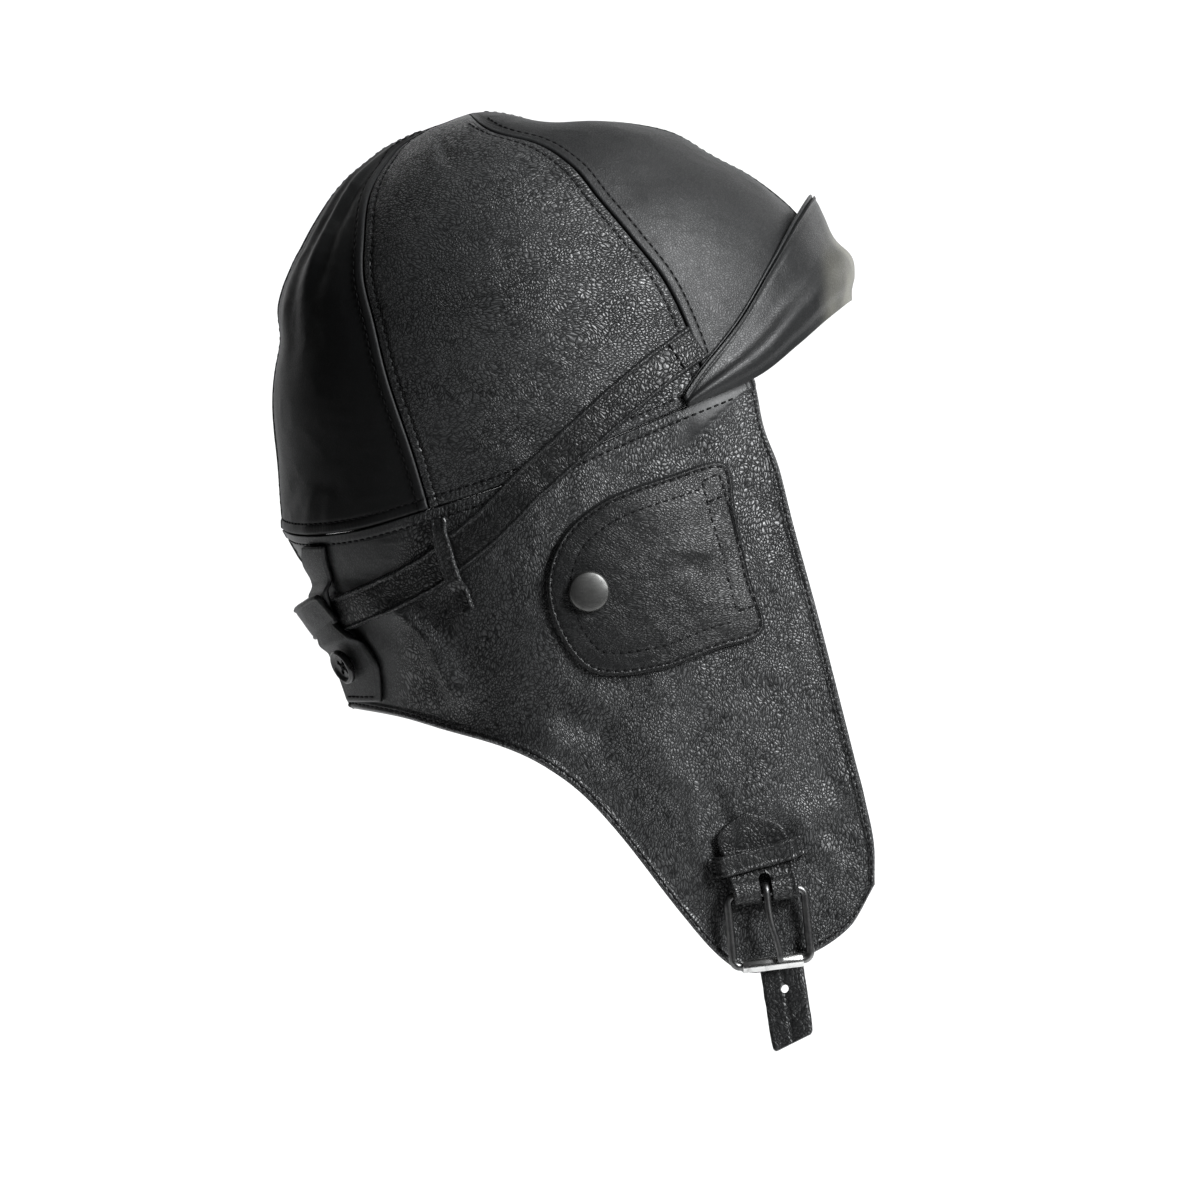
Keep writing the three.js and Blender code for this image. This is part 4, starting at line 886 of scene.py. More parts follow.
INSIDE_LEATHER = leather("leather_flesh_side", colour=(0.013, 0.0128, 0.0125), grain=0.6, cell=0.8,
                         roughness=0.8, deep=0.2, polish=0.0)
THREAD_BLACK = thread_material()
NICKEL = metal("nickel_worn", dark=(0.06, 0.06, 0.062), light=(0.2, 0.2, 0.198), roughness=0.28)
BRIGHT_NICKEL = metal("nickel_bright", dark=(0.3, 0.3, 0.3), light=(0.62, 0.62, 0.61),
                      roughness=0.2, tarnish=0.1)
GUNMETAL = metal("gunmetal_satin", dark=(0.07, 0.07, 0.069), light=(0.135, 0.135, 0.131),
                 roughness=0.42, tarnish=0.3)
HORN = horn_material()


# Meshes

SIDES = {"right": -1, "left": 1}


def place_object(name, data):
    made = bpy.data.objects.new(name, data)
    bpy.context.scene.collection.objects.link(made)
    return made


def solid_mesh(name, points, faces):
    """A mesh from points in mm, with every face turned outwards"""
    mesh = bpy.data.meshes.new(name)
    points = np.asarray(points, float).reshape(-1, 3) * MM
    mesh.from_pydata(points.tolist(), [], [tuple(map(int, face)) for face in faces])
    shape = bmesh.new()
    shape.from_mesh(mesh)
    bmesh.ops.recalc_face_normals(shape, faces=shape.faces)
    shape.to_mesh(mesh)
    shape.free()
    return mesh


def make_piece(name, points, faces, materials, body="helmet", slot="leather_black", nodes=(),
               values=None, face_materials=None):
    """A mesh object from points in mm, riding on a body and standing for solids"""
    mesh = solid_mesh(name, points, faces)
    for material in materials:
        mesh.materials.append(material)
    if face_materials is not None:
        mesh.polygons.foreach_set("material_index", np.asarray(face_materials, np.int32))
    for key, value in (values or {}).items():
        made = mesh.attributes.new(key, "FLOAT", "POINT")
        made.data.foreach_set("value", np.asarray(value, np.float32).ravel())
    mesh.shade_smooth()
    mesh.update()
    piece = place_object(name, mesh)
    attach(piece, body)
    if nodes:
        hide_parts(*nodes)
    return piece


def keep_off_middle(points, gap):
    points[..., 0] = np.maximum(points[..., 0], gap)


def mirror_pieces(name, shape, materials, values, rows=(), node_name=None):
    """The same piece on each side with its stitches: shape gives points, faces and layers"""
    for side in SIDES:
        points, faces, layer = shape(side)
        make_piece(f"leather_{name}_{side}", points, faces, materials,
                   nodes=[f"{node_name or name}_{side}"], values=values,
                   face_materials=layer if len(materials) > 1 else None)
        if rows:
            stitch_piece(name, rows, side)


def mirrored(points, side):
    return points * np.array([SIDES[side], 1, 1])


def both_layers(values):
    """The same values for the outer and the inner points of a sheet"""
    return {key: [value, value] for key, value in values.items()}


def sheet_pair(name, outer, inner, materials, values, rows=(), node_name=None):
    """A closed sheet on each side, from the grids of points of its two faces"""
    def shape(side):
        return sheet_mesh(mirrored(outer, side), mirrored(inner, side))

    mirror_pieces(name, shape, materials, values, rows, node_name)


def strap_pair(name, rings, rubbed, rows):
    """A strap on each side, from its rings of points"""
    def shape(side):
        return *swept_mesh(mirrored(rings, side)), None

    mirror_pieces(name, shape, [STRAP_LEATHER], {"rubbed": rubbed}, rows)


def soft_piece(name, points, faces, rubbed, material=STRAP_LEATHER):
    """A leather piece that stands for the solid of its name and is evenly rubbed"""
    return make_piece(f"leather_{name}", points, faces, [material], nodes=[name],
                      values={"rubbed": np.full(len(points), rubbed)})


def grid_faces(rows, columns, first=0):
    row, column = np.mgrid[0:rows - 1, 0:columns - 1]
    corner = (first + row * columns + column).ravel()
    return np.stack([corner, corner + columns, corner + columns + 1, corner + 1], -1)


def sheet_mesh(outer, inner):
    """A closed sheet between two like grids of points, with the faces' layer"""
    rows, columns = outer.shape[:2]
    count = rows * columns
    top = grid_faces(rows, columns)
    under = grid_faces(rows, columns, count)
    index = np.arange(count).reshape(rows, columns)
    rim = np.concatenate([index[0, :-1], index[:-1, -1], index[-1, :0:-1], index[:0:-1, 0]])
    after = np.roll(rim, -1)
    edge = np.stack([rim, after, after + count, rim + count], -1)
    points = np.concatenate([outer.reshape(-1, 3), inner.reshape(-1, 3)])
    layer = np.concatenate([np.zeros(len(top)), np.ones(len(under)), np.zeros(len(edge))])
    return points, np.concatenate([top, under, edge]), layer


def tube_faces(rings, sides, closed=False):
    """Quads between rings of like points, ring after ring"""
    ring, k = np.mgrid[0:rings if closed else rings - 1, 0:sides]
    after = (ring + 1) % rings
    k_next = (k + 1) % sides
    return np.stack([ring * sides + k, ring * sides + k_next,
                     after * sides + k_next, after * sides + k], -1).reshape(-1, 4)


def swept_mesh(rings, closed=False):
    """A closed body through rings of like points"""
    rings = np.asarray(rings)
    count, sides = rings.shape[:2]
    faces = tube_faces(count, sides, closed).tolist()
    if not closed:
        faces.append(list(range(sides)))
        faces.append(list(range((count - 1) * sides, count * sides))[::-1])
    return rings.reshape(-1, 3), faces


def lathe_mesh(profile, sides):
    """A body turned about Y through radius and height pairs that start and end on the axis"""
    angle = 2 * np.pi * np.arange(sides) / sides
    inner = np.array(profile[1:-1], float)
    rings = np.stack([inner[:, None, 0] * np.cos(angle), inner[:, None, 1] + 0 * angle,
                      inner[:, None, 0] * np.sin(angle)], -1)
    count = len(inner) * sides
    last = count - sides
    points = np.concatenate([rings.reshape(-1, 3), [[0, profile[0][1], 0], [0, profile[-1][1], 0]]])
    faces = tube_faces(len(inner), sides).tolist()
    for k in range(sides):
        after = (k + 1) % sides
        faces += [[count, after, k], [count + 1, last + k, last + after]]
    return points, faces


def cut_away(piece, points, faces):
    """Cuts a closed shape out of a piece"""
    cutter = place_object("cutter", solid_mesh("cutter", points, faces))
    modifier = piece.modifiers.new("cut", "BOOLEAN")
    modifier.operation = "DIFFERENCE"
    modifier.solver = "EXACT"
    modifier.object = cutter
    bpy.context.view_layer.update()
    graph = bpy.context.evaluated_depsgraph_get()
    cut = bpy.data.meshes.new_from_object(piece.evaluated_get(graph))
    piece.modifiers.clear()
    piece.data = cut
    bpy.data.objects.remove(cutter)


# Rows of stitches: each stitch is a short bent thread whose ends go into the leather

STITCH_STATIONS = table(
    "along lift size",
    (-0.5, -0.75, 0.55), (-0.4, 0.1, 0.9), (-0.18, 0.5, 1.0),
    (0.18, 0.5, 1.0), (0.4, 0.1, 0.9), (0.5, -0.75, 0.55),
)
STITCH_SIDES = 6


def stitch_piece(name, rows, side):
    """Stitches along rows of points with their normals, as one mesh"""
    parts = []
    for points, normals in rows:
        run = run_along(points)
        count = max(1, int(run[-1] / STITCH_PITCH))
        pitch = run[-1] / count
        reach = pitch * STITCH_LENGTH / STITCH_PITCH / 2
        middle = (np.arange(count) + 0.5) * pitch
        parts.append([points_at(points, run, middle - reach), points_at(points, run, middle + reach),
                      points_at(normals, run, middle)])
    starts, ends, outs = (mirrored(np.concatenate(part), side) for part in zip(*parts))
    along = ends - starts
    aside = unit(np.cross(along, unit(outs)))
    outs = unit(np.cross(aside, along))
    middle = (starts + ends) / 2
    shape = STITCH_STATIONS
    angle = 2 * np.pi * np.arange(STITCH_SIDES) / STITCH_SIDES
    radius = THREAD / 2 * shape["size"][None, :, None, None]
    centre = (middle[:, None, :] + along[:, None, :] * shape["along"][None, :, None]
              + outs[:, None, :] * (shape["lift"] * THREAD / 2)[None, :, None])
    ring = (aside[:, None, None, :] * np.cos(angle)[None, None, :, None]
            + outs[:, None, None, :] * np.sin(angle)[None, None, :, None])
    stations = len(shape["along"])
    each = stations * STITCH_SIDES
    quads = tube_faces(stations, STITCH_SIDES)
    caps = [list(range(STITCH_SIDES))[::-1], list(range(each - STITCH_SIDES, each))]
    faces = []
    for first in range(0, len(starts) * each, each):
        faces.extend((quads + first).tolist())
        faces.extend([[v + first for v in cap] for cap in caps])
    make_piece(f"stitches_{name}_{side}", centre[:, :, None, :] + ring * radius, faces, [THREAD_BLACK])


# Crown gores

GORE_NAMES = ("front", "side", "rear")
SEAM_SPACING = np.array([0.06, 0.35, 0.7, 1.1, 1.6, 2.2, 2.8, 3.3, 3.65, 3.95, 4.3, 4.8, 5.5, 6.6])
GORE_MIDDLE = 46
GORE_LEVELS = np.concatenate([
    np.array([0.06, 0.4, 0.8, 1.3, 1.9, 2.6, 3.2, 3.6, 3.95, 4.3, 4.8, 5.6]) / 190,
    np.linspace(0.036, 1.0, 150),
])


def spread(width):
    """Shares across a strip, close together near its two edges"""
    near = SEAM_SPACING / np.maximum(width[:, None], 2.4 * SEAM_SPACING[-1])
    inside = near[:, -1:]
    middle = np.linspace(0, 1, GORE_MIDDLE + 2)[1:-1]
    return np.concatenate([near, inside + (1 - 2 * inside) * middle, 1 - near[:, ::-1]], 1)


def gore_turns(gore, levels):
    edges = seam_turns(levels)
    first, last = edges[gore], edges[gore + 1]
    width = (last - first) * degree_length((first + last) / 2, levels)
    return first[:, None] + (last - first)[:, None] * spread(width)


GORE_CLOSE = 0.4  # the inner points follow the outer ones this near the middle plane
APEX_SHARE = 0.02


def build_gores():
    apex = crown_skin(np.array(90.0), np.array(1.0))[0] * np.array([0, 1, 1])
    for gore, gore_name in enumerate(GORE_NAMES):
        turns = gore_turns(gore, GORE_LEVELS)
        levels = np.repeat(GORE_LEVELS[:, None], turns.shape[1], 1)
        outer, normal, values = crown_skin(turns, levels)
        inner = outer - normal * WALL
        inner[..., 0] = np.where(np.abs(outer[..., 0]) < GORE_CLOSE, outer[..., 0], inner[..., 0])
        outer[-1] = apex + (outer[-1] - apex) * APEX_SHARE
        inner[-1] = outer[-1] - np.array([0, 0, WALL])
        keep_off_middle(outer, MIDDLE_GAP)
        keep_off_middle(inner, MIDDLE_GAP)
        # Smooth leather near the apex and over the rear gore; the shader paints smooth leather darker and
        # less glossy, which over the rear gore is painted shade
        values["smooth"] = 0.6 * bell(levels - 1, 0.16) + (0.6 if gore_name == "rear" else 0)
        finish = SIDE_LEATHER if gore_name == "side" else CALM_LEATHER
        sheet_pair(f"crown_{gore_name}", outer, inner, [finish, INSIDE_LEATHER], both_layers(values))


FOOT_STEP = 0.03


def build_crown_stitches():
    """A row on both sides of each seam, and one along the foot"""
    rows = []
    levels = np.linspace(0.03, 0.93, 260)
    edges = seam_turns(levels)
    room = 0.42 * np.minimum(edges[1], 180 - edges[2])
    for edge, ways in zip(edges, ((1,), (-1, 1), (-1, 1), (-1,))):
        offset = SEAM_ROW / degree_length(edge, levels)
        clear = offset < room
        for way in ways:
            rows.append(crown_skin(edge[clear] + way * offset[clear], levels[clear])[:2])
    turns = np.linspace(2.5, 177.5, 400)
    rise = length(crown_base(turns, 0 * turns + FOOT_STEP) - crown_base(turns, 0 * turns))
    rows.append(crown_skin(turns, SEAM_ROW * FOOT_STEP / rise)[:2])
    for side in SIDES:
        stitch_piece("crown", rows, side)


# Side panels

PANEL_ROUNDS = 175
PANEL_FALLS = 165
EDGE_SPACING = np.array([0.0, 0.25, 0.55, 0.9, 1.3, 1.7, 2.1, 2.4, 2.7, 3.0, 3.4, 3.9, 4.6, 5.6])


def edge_shares(start, end, count):
    """Shares from 0 to 1 with close rows near both ends; start and end are spans in mm"""
    near = EDGE_SPACING / start
    far = 1 - EDGE_SPACING[::-1] / end
    middle = np.linspace(near[-1], far[0], count - 2 * len(EDGE_SPACING) + 2)[1:-1]
    return np.concatenate([near, middle, far])


def build_panels():
    rounds = edge_shares(250.0, 250.0, PANEL_ROUNDS)
    falls = edge_shares(170.0, 165.0, PANEL_FALLS)
    fall, round_ = np.meshgrid(falls, rounds, indexing="ij")
    outer, normal, values = panel_skin(round_, fall)
    inner = outer - normal * WALL
    for points in (outer, inner):
        points[:, 0, 0] = 0
        keep_off_middle(points, 2 * MIDDLE_GAP)
    base = panel_base(round_, fall)
    # The back of the panel and the temple zone count as smooth leather, which the shader paints darker and
    # less glossy: painted shade over the back of the panel and under the peak
    rear = 0.85 * ease((base[..., 1] - 50) / 14)
    values["smooth"] = np.maximum(temple_zone(base), rear)
    sheet_pair("panel", outer, inner, [PANEL_LEATHER, INSIDE_LEATHER], both_layers(values),
               node_name="side_panel")


def build_panel_stitches():
    """Rows along the hem, the face edge, the nape seam and the foot as far as the temple"""
    rounds = np.linspace(0.015, 0.985, 420)
    falls = np.linspace(0.02, 0.985, 300)
    hem_run, face_run, nape_run, foot_run = panel_runs(rounds, falls)
    behind = rounds < 0.93
    rows = [panel_skin(*place)[:2] for place in (
        (rounds, 1 - HEM_ROW / hem_run), (1 - HEM_ROW / face_run, falls),
        (NAPE_ROW / nape_run, falls), (rounds[behind], SEAM_ROW / foot_run[behind]))]
    for side in SIDES:
        stitch_piece("panel", rows, side)


# The plain skin, searched by rays, for what lies on it


OUTSIDE = 300  # rays start this far out


class Skin:
    """Left half of the plain skin, with smooth normals"""

    def __init__(self):
        crown_rows, crown_columns = 90, 190
        level, turn = np.meshgrid(np.linspace(0, 0.97, crown_rows), np.linspace(-2, 182, crown_columns),
                                  indexing="ij")
        crown_normals = crown_normal(turn, level)
        crown = crown_base(turn, level) + crown_normals * crown_relief(turn, level)[..., None]
        rows, columns = 120, 150
        fall, round_ = np.meshgrid(np.linspace(0, 1, rows), np.linspace(0, 1, columns), indexing="ij")
        panel, panel_normals, folds = panel_plain(round_, fall)
        panel = panel + panel_normals * folds[..., None]
        self.points = np.concatenate([crown.reshape(-1, 3), panel.reshape(-1, 3)])
        self.normals = np.concatenate([crown_normals.reshape(-1, 3), panel_normals.reshape(-1, 3)])
        quads = np.concatenate([grid_faces(crown_rows, crown_columns),
                                grid_faces(rows, columns, crown_rows * crown_columns)])
        self.faces = np.concatenate([quads[:, [0, 1, 2]], quads[:, [0, 2, 3]]])
        self.tree = BVHTree.FromPolygons(self.points.tolist(), self.faces.tolist())

    def hit(self, origin, direction):
        """The first place of the skin along a ray, or else the nearest one, with its normal"""
        place, _, index, _ = self.tree.ray_cast(Vector(origin), Vector(direction))
        if place is None:
            place, _, index, _ = self.tree.find_nearest(Vector(origin))
        corners = self.faces[index]
        a, b, c = self.points[corners]
        place = np.array(place)
        whole = np.linalg.norm(np.cross(b - a, c - a))
        weights = np.array([np.linalg.norm(np.cross(c - b, place - b)),
                            np.linalg.norm(np.cross(a - c, place - c)),
                            np.linalg.norm(np.cross(b - a, place - a))]) / max(whole, 1e-9)
        return place, unit(weights @ self.normals[corners])

    def from_side(self, fore, down):
        return self.hit((OUTSIDE, -fore, -down), (-1, 0, 0))

    def around(self, turn, down):
        angle = math.radians(turn)
        out = np.array([math.sin(angle), -math.cos(angle), 0])
        return self.hit(out * OUTSIDE + np.array([0, 0, -down * SKIRT_DEPTH]), -out)


skin = Skin()


def turn_of(point):
    return math.degrees(math.atan2(point[0], -point[1]))


# Straps


SECTION_COUNT = 29  # points across the upper face of a strap


def strap_section(width, thickness, rolled=0.4, count=SECTION_COUNT):
    """Outline of a strap: rounded sides, rolled edges and a slightly sunk middle"""
    half = width / 2
    deep = thickness / 2
    across = half * np.sin(np.linspace(-np.pi / 2, np.pi / 2, count))
    inward = half - np.abs(across)
    room = np.clip(inward / min(deep * 1.1, half), 0, 1)
    edge = deep * np.sqrt(np.maximum(1 - (1 - room) ** 2, 0))
    bead = rolled * bell(inward - 0.9, 0.5)
    sunk = rolled * (0.7 * ease((inward - 1.2) / 0.8) + 0.6 * bell(inward - 1.9, 0.4))
    top = np.stack([across, edge + bead - sunk], -1)
    bottom = np.stack([across[::-1], -edge[::-1]], -1)
    return np.concatenate([top, bottom[1:-1]])


def ring_at(centre, across, outward, section):
    return centre + section[:, :1] * across + section[:, 1:] * outward


def strap_stations(route, steps):
    stations = []
    for share in np.arange(steps + 1) / steps:
        turn = float(read_share(route, "turn", share))
        down = float(read_share(route, "down", share))
        stations.append((*skin.around(min(turn, 179.5), down), turn, down))
    return stations


def strap_rings(route, steps, width, thickness, rise_at, section=None):
    """Rings of a strap that follows the skin, with the frame of each ring"""
    stations = strap_stations(route, steps)
    section = strap_section(width, thickness) if section is None else section
    half = width / 2
    rings, frames = [], []
    for index, (point, normal, turn, down) in enumerate(stations):
        before = stations[max(0, index - 2)][0]
        after = stations[min(steps, index + 2)][0]
        along = unit(after - before)
        across = unit(np.cross(normal, along))
        lift = SEAT + thickness / 2 + rise_at(turn, down)
        ends = []
        for way in (-1, 1):
            aside = point + across * way * half
            ends.append(skin.around(min(turn_of(aside), 180), -aside[2] / SKIRT_DEPTH))
        ring = []
        for a, b in section:
            end_point, end_normal = ends[0] if a < 0 else ends[1]
            share = abs(a) / half
            sag = (end_point - point) @ normal
            outward = unit(mix(normal, end_normal, share * 0.5))
            ring.append(point + across * a + normal * sag * share * share + outward * (lift + b))
        rings.append(ring)
        frames.append((point, along, across, normal, lift))
    return np.array(rings), frames


def over_strap(turn, down):
    """How far a layer is lifted where it lies over the head strap"""
    route = read(STRAP_ROUTE, "turn", "down", turn)
    ahead = read(STRAP_ROUTE, "turn", "down", turn - 2)
    slope = math.atan2((route - ahead) * SKIRT_DEPTH, math.radians(2) * CROWN_HALF_WIDTH)
    distance = abs(down - route) * SKIRT_DEPTH * math.cos(slope)
    margin, ramp = 1.5, 4
    share = (STRAP_WIDTH / 2 + margin + ramp - distance) / ramp
    return float((STRAP_THICKNESS + LAYER_GAP) * ease(share))


def crumple(rings, seed, size, amount):
    """Uneven surface of a handled strap, from its middle line outwards"""
    rings = np.asarray(rings)
    outward = unit(rings - rings.mean(1, keepdims=True))
    return rings + outward * (amount * noise(rings, size, seed))[..., None]


def build_head_straps():
    rings, frames = strap_rings(STRAP_ROUTE, 150, STRAP_WIDTH, STRAP_THICKNESS, lambda turn, down: 0)
    rings = crumple(rings, seed=4, size=3.2, amount=0.16)
    rings = crumple(rings, seed=5, size=1.6, amount=0.07)
    rings[-1, :, 0] = 0.05
    rubbed = np.zeros(rings.shape[:2])
    near_edge = np.abs(np.linspace(-1, 1, SECTION_COUNT)) > 0.6
    rubbed[:, :SECTION_COUNT] = np.where(near_edge, 0.7, 0.12)
    sewn_ring, sewn_behind = 5, 2.6
    point, along, across, normal, lift = frames[sewn_ring]
    half = STRAP_WIDTH / 2 - 1.2
    start = point + along * sewn_behind
    top = normal * (lift + STRAP_THICKNESS / 2 - 0.12)
    line = np.array([start + across * a + top for a in np.linspace(-half, half, 12)])
    strap_pair("head_strap", rings, rubbed, [(line, np.broadcast_to(normal, line.shape))])


def build_side_loops():
    rings, frames = strap_rings(LOOP_ROUTE, 60, LOOP_WIDTH, LOOP_THICKNESS, over_strap,
                                strap_section(LOOP_WIDTH, LOOP_THICKNESS, rolled=0.12))
    rings = crumple(rings, seed=6, size=2.4, amount=0.07)
    sewn_ring = -6
    point, along, across, normal, lift = frames[sewn_ring]
    top = normal * (lift + LOOP_THICKNESS / 2 - 0.05)
    half = LOOP_WIDTH / 2 - 1.1
    low, high = -2.2, 3.0
    corners = [(-half, low), (half, low), (half, high), (-half, high), (-half, low)]
    rows = []
    for start, end in zip(corners, corners[1:]):
        line = np.array([point + across * mix(start[0], end[0], t) + along * mix(start[1], end[1], t) + top
                         for t in np.linspace(0, 1, 6)])
        rows.append((line, np.broadcast_to(normal, line.shape)))
    strap_pair("side_loop", rings, np.full(rings.shape[:2], 0.3), rows)


def tab_point(share, across, stand):
    """A place of a rear tab, at a height over its seat, with the normal there"""
    down = float(mix(TAB_ROWS["down"][0], TAB_ROWS["down"][-1], share))
    far = float(read(TAB_ROWS, "down", "far", down))
    near = float(read(TAB_ROWS, "down", "near", down))
    turn = mix(far, near, across)
    point, normal = skin.around(turn, down)
    return point + normal * (SEAT + over_strap(turn, down) + stand), normal


TAB_COLUMNS = (0, 0.02, 0.05, 0.09, 0.14, 0.2, 0.28, 0.38, 0.5, 0.62, 0.72, 0.8, 0.86,
               0.91, 0.95, 0.98, 1)


def build_rear_tabs():
    shares = np.linspace(0, 1, 90)
    grid = (len(shares), len(TAB_COLUMNS))
    wide, long = 18, 54  # about the size of a tab in mm
    outer, inner, rubbed = [], [], []
    for share, across in product(shares, TAB_COLUMNS):
        near = min(min(across, 1 - across) * wide, (1 - share) * long)
        edge = -0.75 * bell(near, 0.6) - 0.3 * bell(near - 1.9, 0.4) + 0.12 * bell(near - 1.1, 0.6)
        outer.append(tab_point(share, across, TAB_THICKNESS + edge)[0])
        inner.append(tab_point(share, across, 0)[0])
        rubbed.append(0.8 * bell(near - 0.4, 0.7))
    outer = np.reshape(outer, (*grid, 3))
    inner = np.reshape(inner, (*grid, 3))
    outer = outer + 0.1 * noise(outer, size=4, seed=8)[..., None] * unit(outer - inner)
    sewn_share, sunk = 0.962, 0.12
    line = [tab_point(sewn_share, across, TAB_THICKNESS - sunk) for across in np.linspace(0.12, 0.88, 20)]
    points, normals = (np.array(part) for part in zip(*line))
    sheet_pair("rear_tab", outer, inner, [CALM_LEATHER], {"rubbed": [rubbed, np.zeros(len(rubbed))]},
               [(points, normals)])


def turned_onto(points, place, normal):
    """Sets a body turned about Y with its axis along a normal"""
    turn = Vector((0, 1, 0)).rotation_difference(Vector(normal)).to_matrix()
    return np.asarray(points) @ np.array(turn).T + place


def bore(piece, place, out, radius, low, high, sides, offset=(0, 0, 0)):
    """Cuts a round hole along a normal of a piece, at an offset from a place"""
    hole, faces = lathe_mesh([(0, low), (radius, low), (radius, high), (0, high)], sides)
    cut_away(piece, turned_onto(hole + np.array(offset), place, out), faces)


def joined(bodies):
    """Several bodies as one list of points and one of faces"""
    points, faces = [], []
    for body_points, body_faces in bodies:
        faces.extend([[v + len(points) for v in face] for face in body_faces])
        points.extend(body_points)
    return points, faces


def build_buttons():
    radius = BUTTON_DIAMETER / 2
    high = BUTTON_THICKNESS
    floor = high * 0.56
    profile = [(0, 0), (radius * 0.6, 0), (radius * 0.82, 0.05), (radius * 0.95, high * 0.22),
               (radius, high * 0.45), (radius, high * 0.7), (radius * 0.97, high * 0.88),
               (radius * 0.9, high * 0.99), (radius * 0.82, high * 0.97), (radius * 0.74, high * 0.8),
               (radius * 0.68, high * 0.66), (radius * 0.6, high * 0.6), (radius * 0.3, floor),
               (0, floor)]
    point, normal = skin.around(BUTTON_TURN, BUTTON_DOWN)
    lift = SEAT + TAB_THICKNESS + over_strap(BUTTON_TURN, BUTTON_DOWN) + BUTTON_LIFT
    hole_offset = radius * 0.27
    thread_gap = 0.28 * 0.6
    thread_rise, thread_sink = 0.3, 2.4
    for side in SIDES:
        place = mirrored(point + normal * lift, side)
        out = mirrored(normal, side)
        points, faces = lathe_mesh(profile, sides=56)
        button = make_piece(f"horn_button_{side}", turned_onto(points, place, out), faces, [HORN],
                            slot="button_black", nodes=[f"rear_button_{side}"])
        for x, z in product((1, -1), repeat=2):
            offset = (x * hole_offset, 0, z * hole_offset)
            bore(button, place, out, radius=0.9, low=-3, high=6, sides=16, offset=offset)
        strands = []
        for slant, aside in product((1, -1), (-thread_gap, thread_gap)):
            line = []
            for t in np.linspace(0, 1, 11):
                x = mix(1, -1, t) * hole_offset + aside
                z = mix(slant, -slant, t) * hole_offset - aside * slant
                line.append((x, floor + thread_rise - thread_sink * abs(2 * t - 1) ** 6, z))
            line = turned_onto(np.array(line), place, out)
            strands.append(swept_mesh(wire_rings(line, out, radius=0.24, sides=8, turned=0)))
        make_piece(f"button_thread_{side}", *joined(strands), [THREAD_BLACK])


def build_slide():
    steps = 70
    section = strap_section(SLIDE_WIDTH, STRAP_THICKNESS, rolled=0.2)
    layers = STRAP_THICKNESS + TAB_THICKNESS + 2 * LAYER_GAP
    lift = SEAT + layers + SLIDE_CLEAR + STRAP_THICKNESS / 2
    centres, normals = [], []
    for step in range(steps + 1):
        share = 2 * step / steps - 1
        turn = 180 - abs(share) * SLIDE_TURN
        down = float(read(STRAP_ROUTE, "turn", "down", turn))
        point, normal = skin.around(min(turn, 179.9), down)
        way = np.array([np.sign(share), 1, 1])
        centre = (point + normal * lift) * way
        centre[1] += SLIDE_STAND * max(0, math.cos(share * math.pi / 2)) ** 1.4
        centres.append(centre)
        normals.append(normal * way)
    kernel = np.array([1, 2, 3, 2, 1]) / 9
    padded = np.pad(np.array(centres), ((2, 2), (0, 0)), mode="reflect", reflect_type="odd")
    centres = np.stack([np.convolve(column, kernel, mode="valid") for column in padded.T], -1)
    rings = []
    for i, centre in enumerate(centres):
        along = direction_at(centres, i)
        across = unit(np.cross(along, normals[i]))
        outward = unit(np.cross(across, along))
        narrow = 1 - 0.12 * (abs(2 * i / steps - 1) ** 8)
        rings.append(ring_at(centre, across, outward, section * np.array([narrow, 1])))
    rings = crumple(rings, seed=11, size=3.0, amount=0.1)
    pivot = centres[steps // 2]
    lean = math.radians(SLIDE_LEAN)
    away = rings - pivot
    rings = np.stack([away[..., 0], away[..., 1] * math.cos(lean) + away[..., 2] * math.sin(lean),
                      away[..., 2] * math.cos(lean) - away[..., 1] * math.sin(lean)], -1)
    rings = rings + pivot - np.array([0, SLIDE_SINK, 0])
    soft_piece("strap_slide", *swept_mesh(rings), rubbed=0.25, material=CALM_LEATHER)


# Peak

PEAK_CLEAR = SEAT + LAYER_GAP * 1.25
FADE_START = 88  # mm ahead of the origin
FADE_RUN = 12
PEAK_EDGE = table(
    "beyond stand",
    (-1.25, 1.12), (-0.85, 1.12), (-0.55, 1.0), (-0.6, 0.84), (-1.0, 0.72), (-1.5, 0.62),
    (-1.1, 0.54), (-0.3, 0.62), (0.35, 0.64), (0.75, 0.5), (0.75, 0.28), (0.5, 0.08), (0.2, 0.0),
)


def peak_face(turn, share, stand):
    """Places of the peak: share runs from its root to its edge, stand from its back to its face"""
    around = np.abs(turn)
    tilt = math.radians(CROWN_TILT)
    upward = np.array([0, math.sin(tilt), math.cos(tilt)])
    root = crown_base(around, 0 * around)
    outward = crown_normal(around, 0 * around)
    outward = unit(outward - (outward @ upward)[..., None] * upward)
    fade = np.maximum(0, np.cos(np.radians(90 * around / (PEAK_HALF_TURN + 2)))) ** PEAK_TAPER
    up = read(PEAK_PROFILE, "up", "up", share)
    out = read(PEAK_PROFILE, "up", "out", share) * PEAK_STAND * fade
    rise = up * PEAK_HEIGHT * fade - 0.3
    clear = PEAK_CLEAR + GORE_BULGE * 0.3 * np.sin(np.pi * np.clip(share * 2, 0, 1))
    point = root + upward * rise[..., None] + outward * (clear + out + stand * PEAK_THICKNESS)[..., None]
    way = np.where(turn < 0, -1.0, 1.0)
    to_side = np.stack([way, 0 * way + 1, 0 * way + 1], -1)
    return point * to_side, upward, outward * to_side, fade


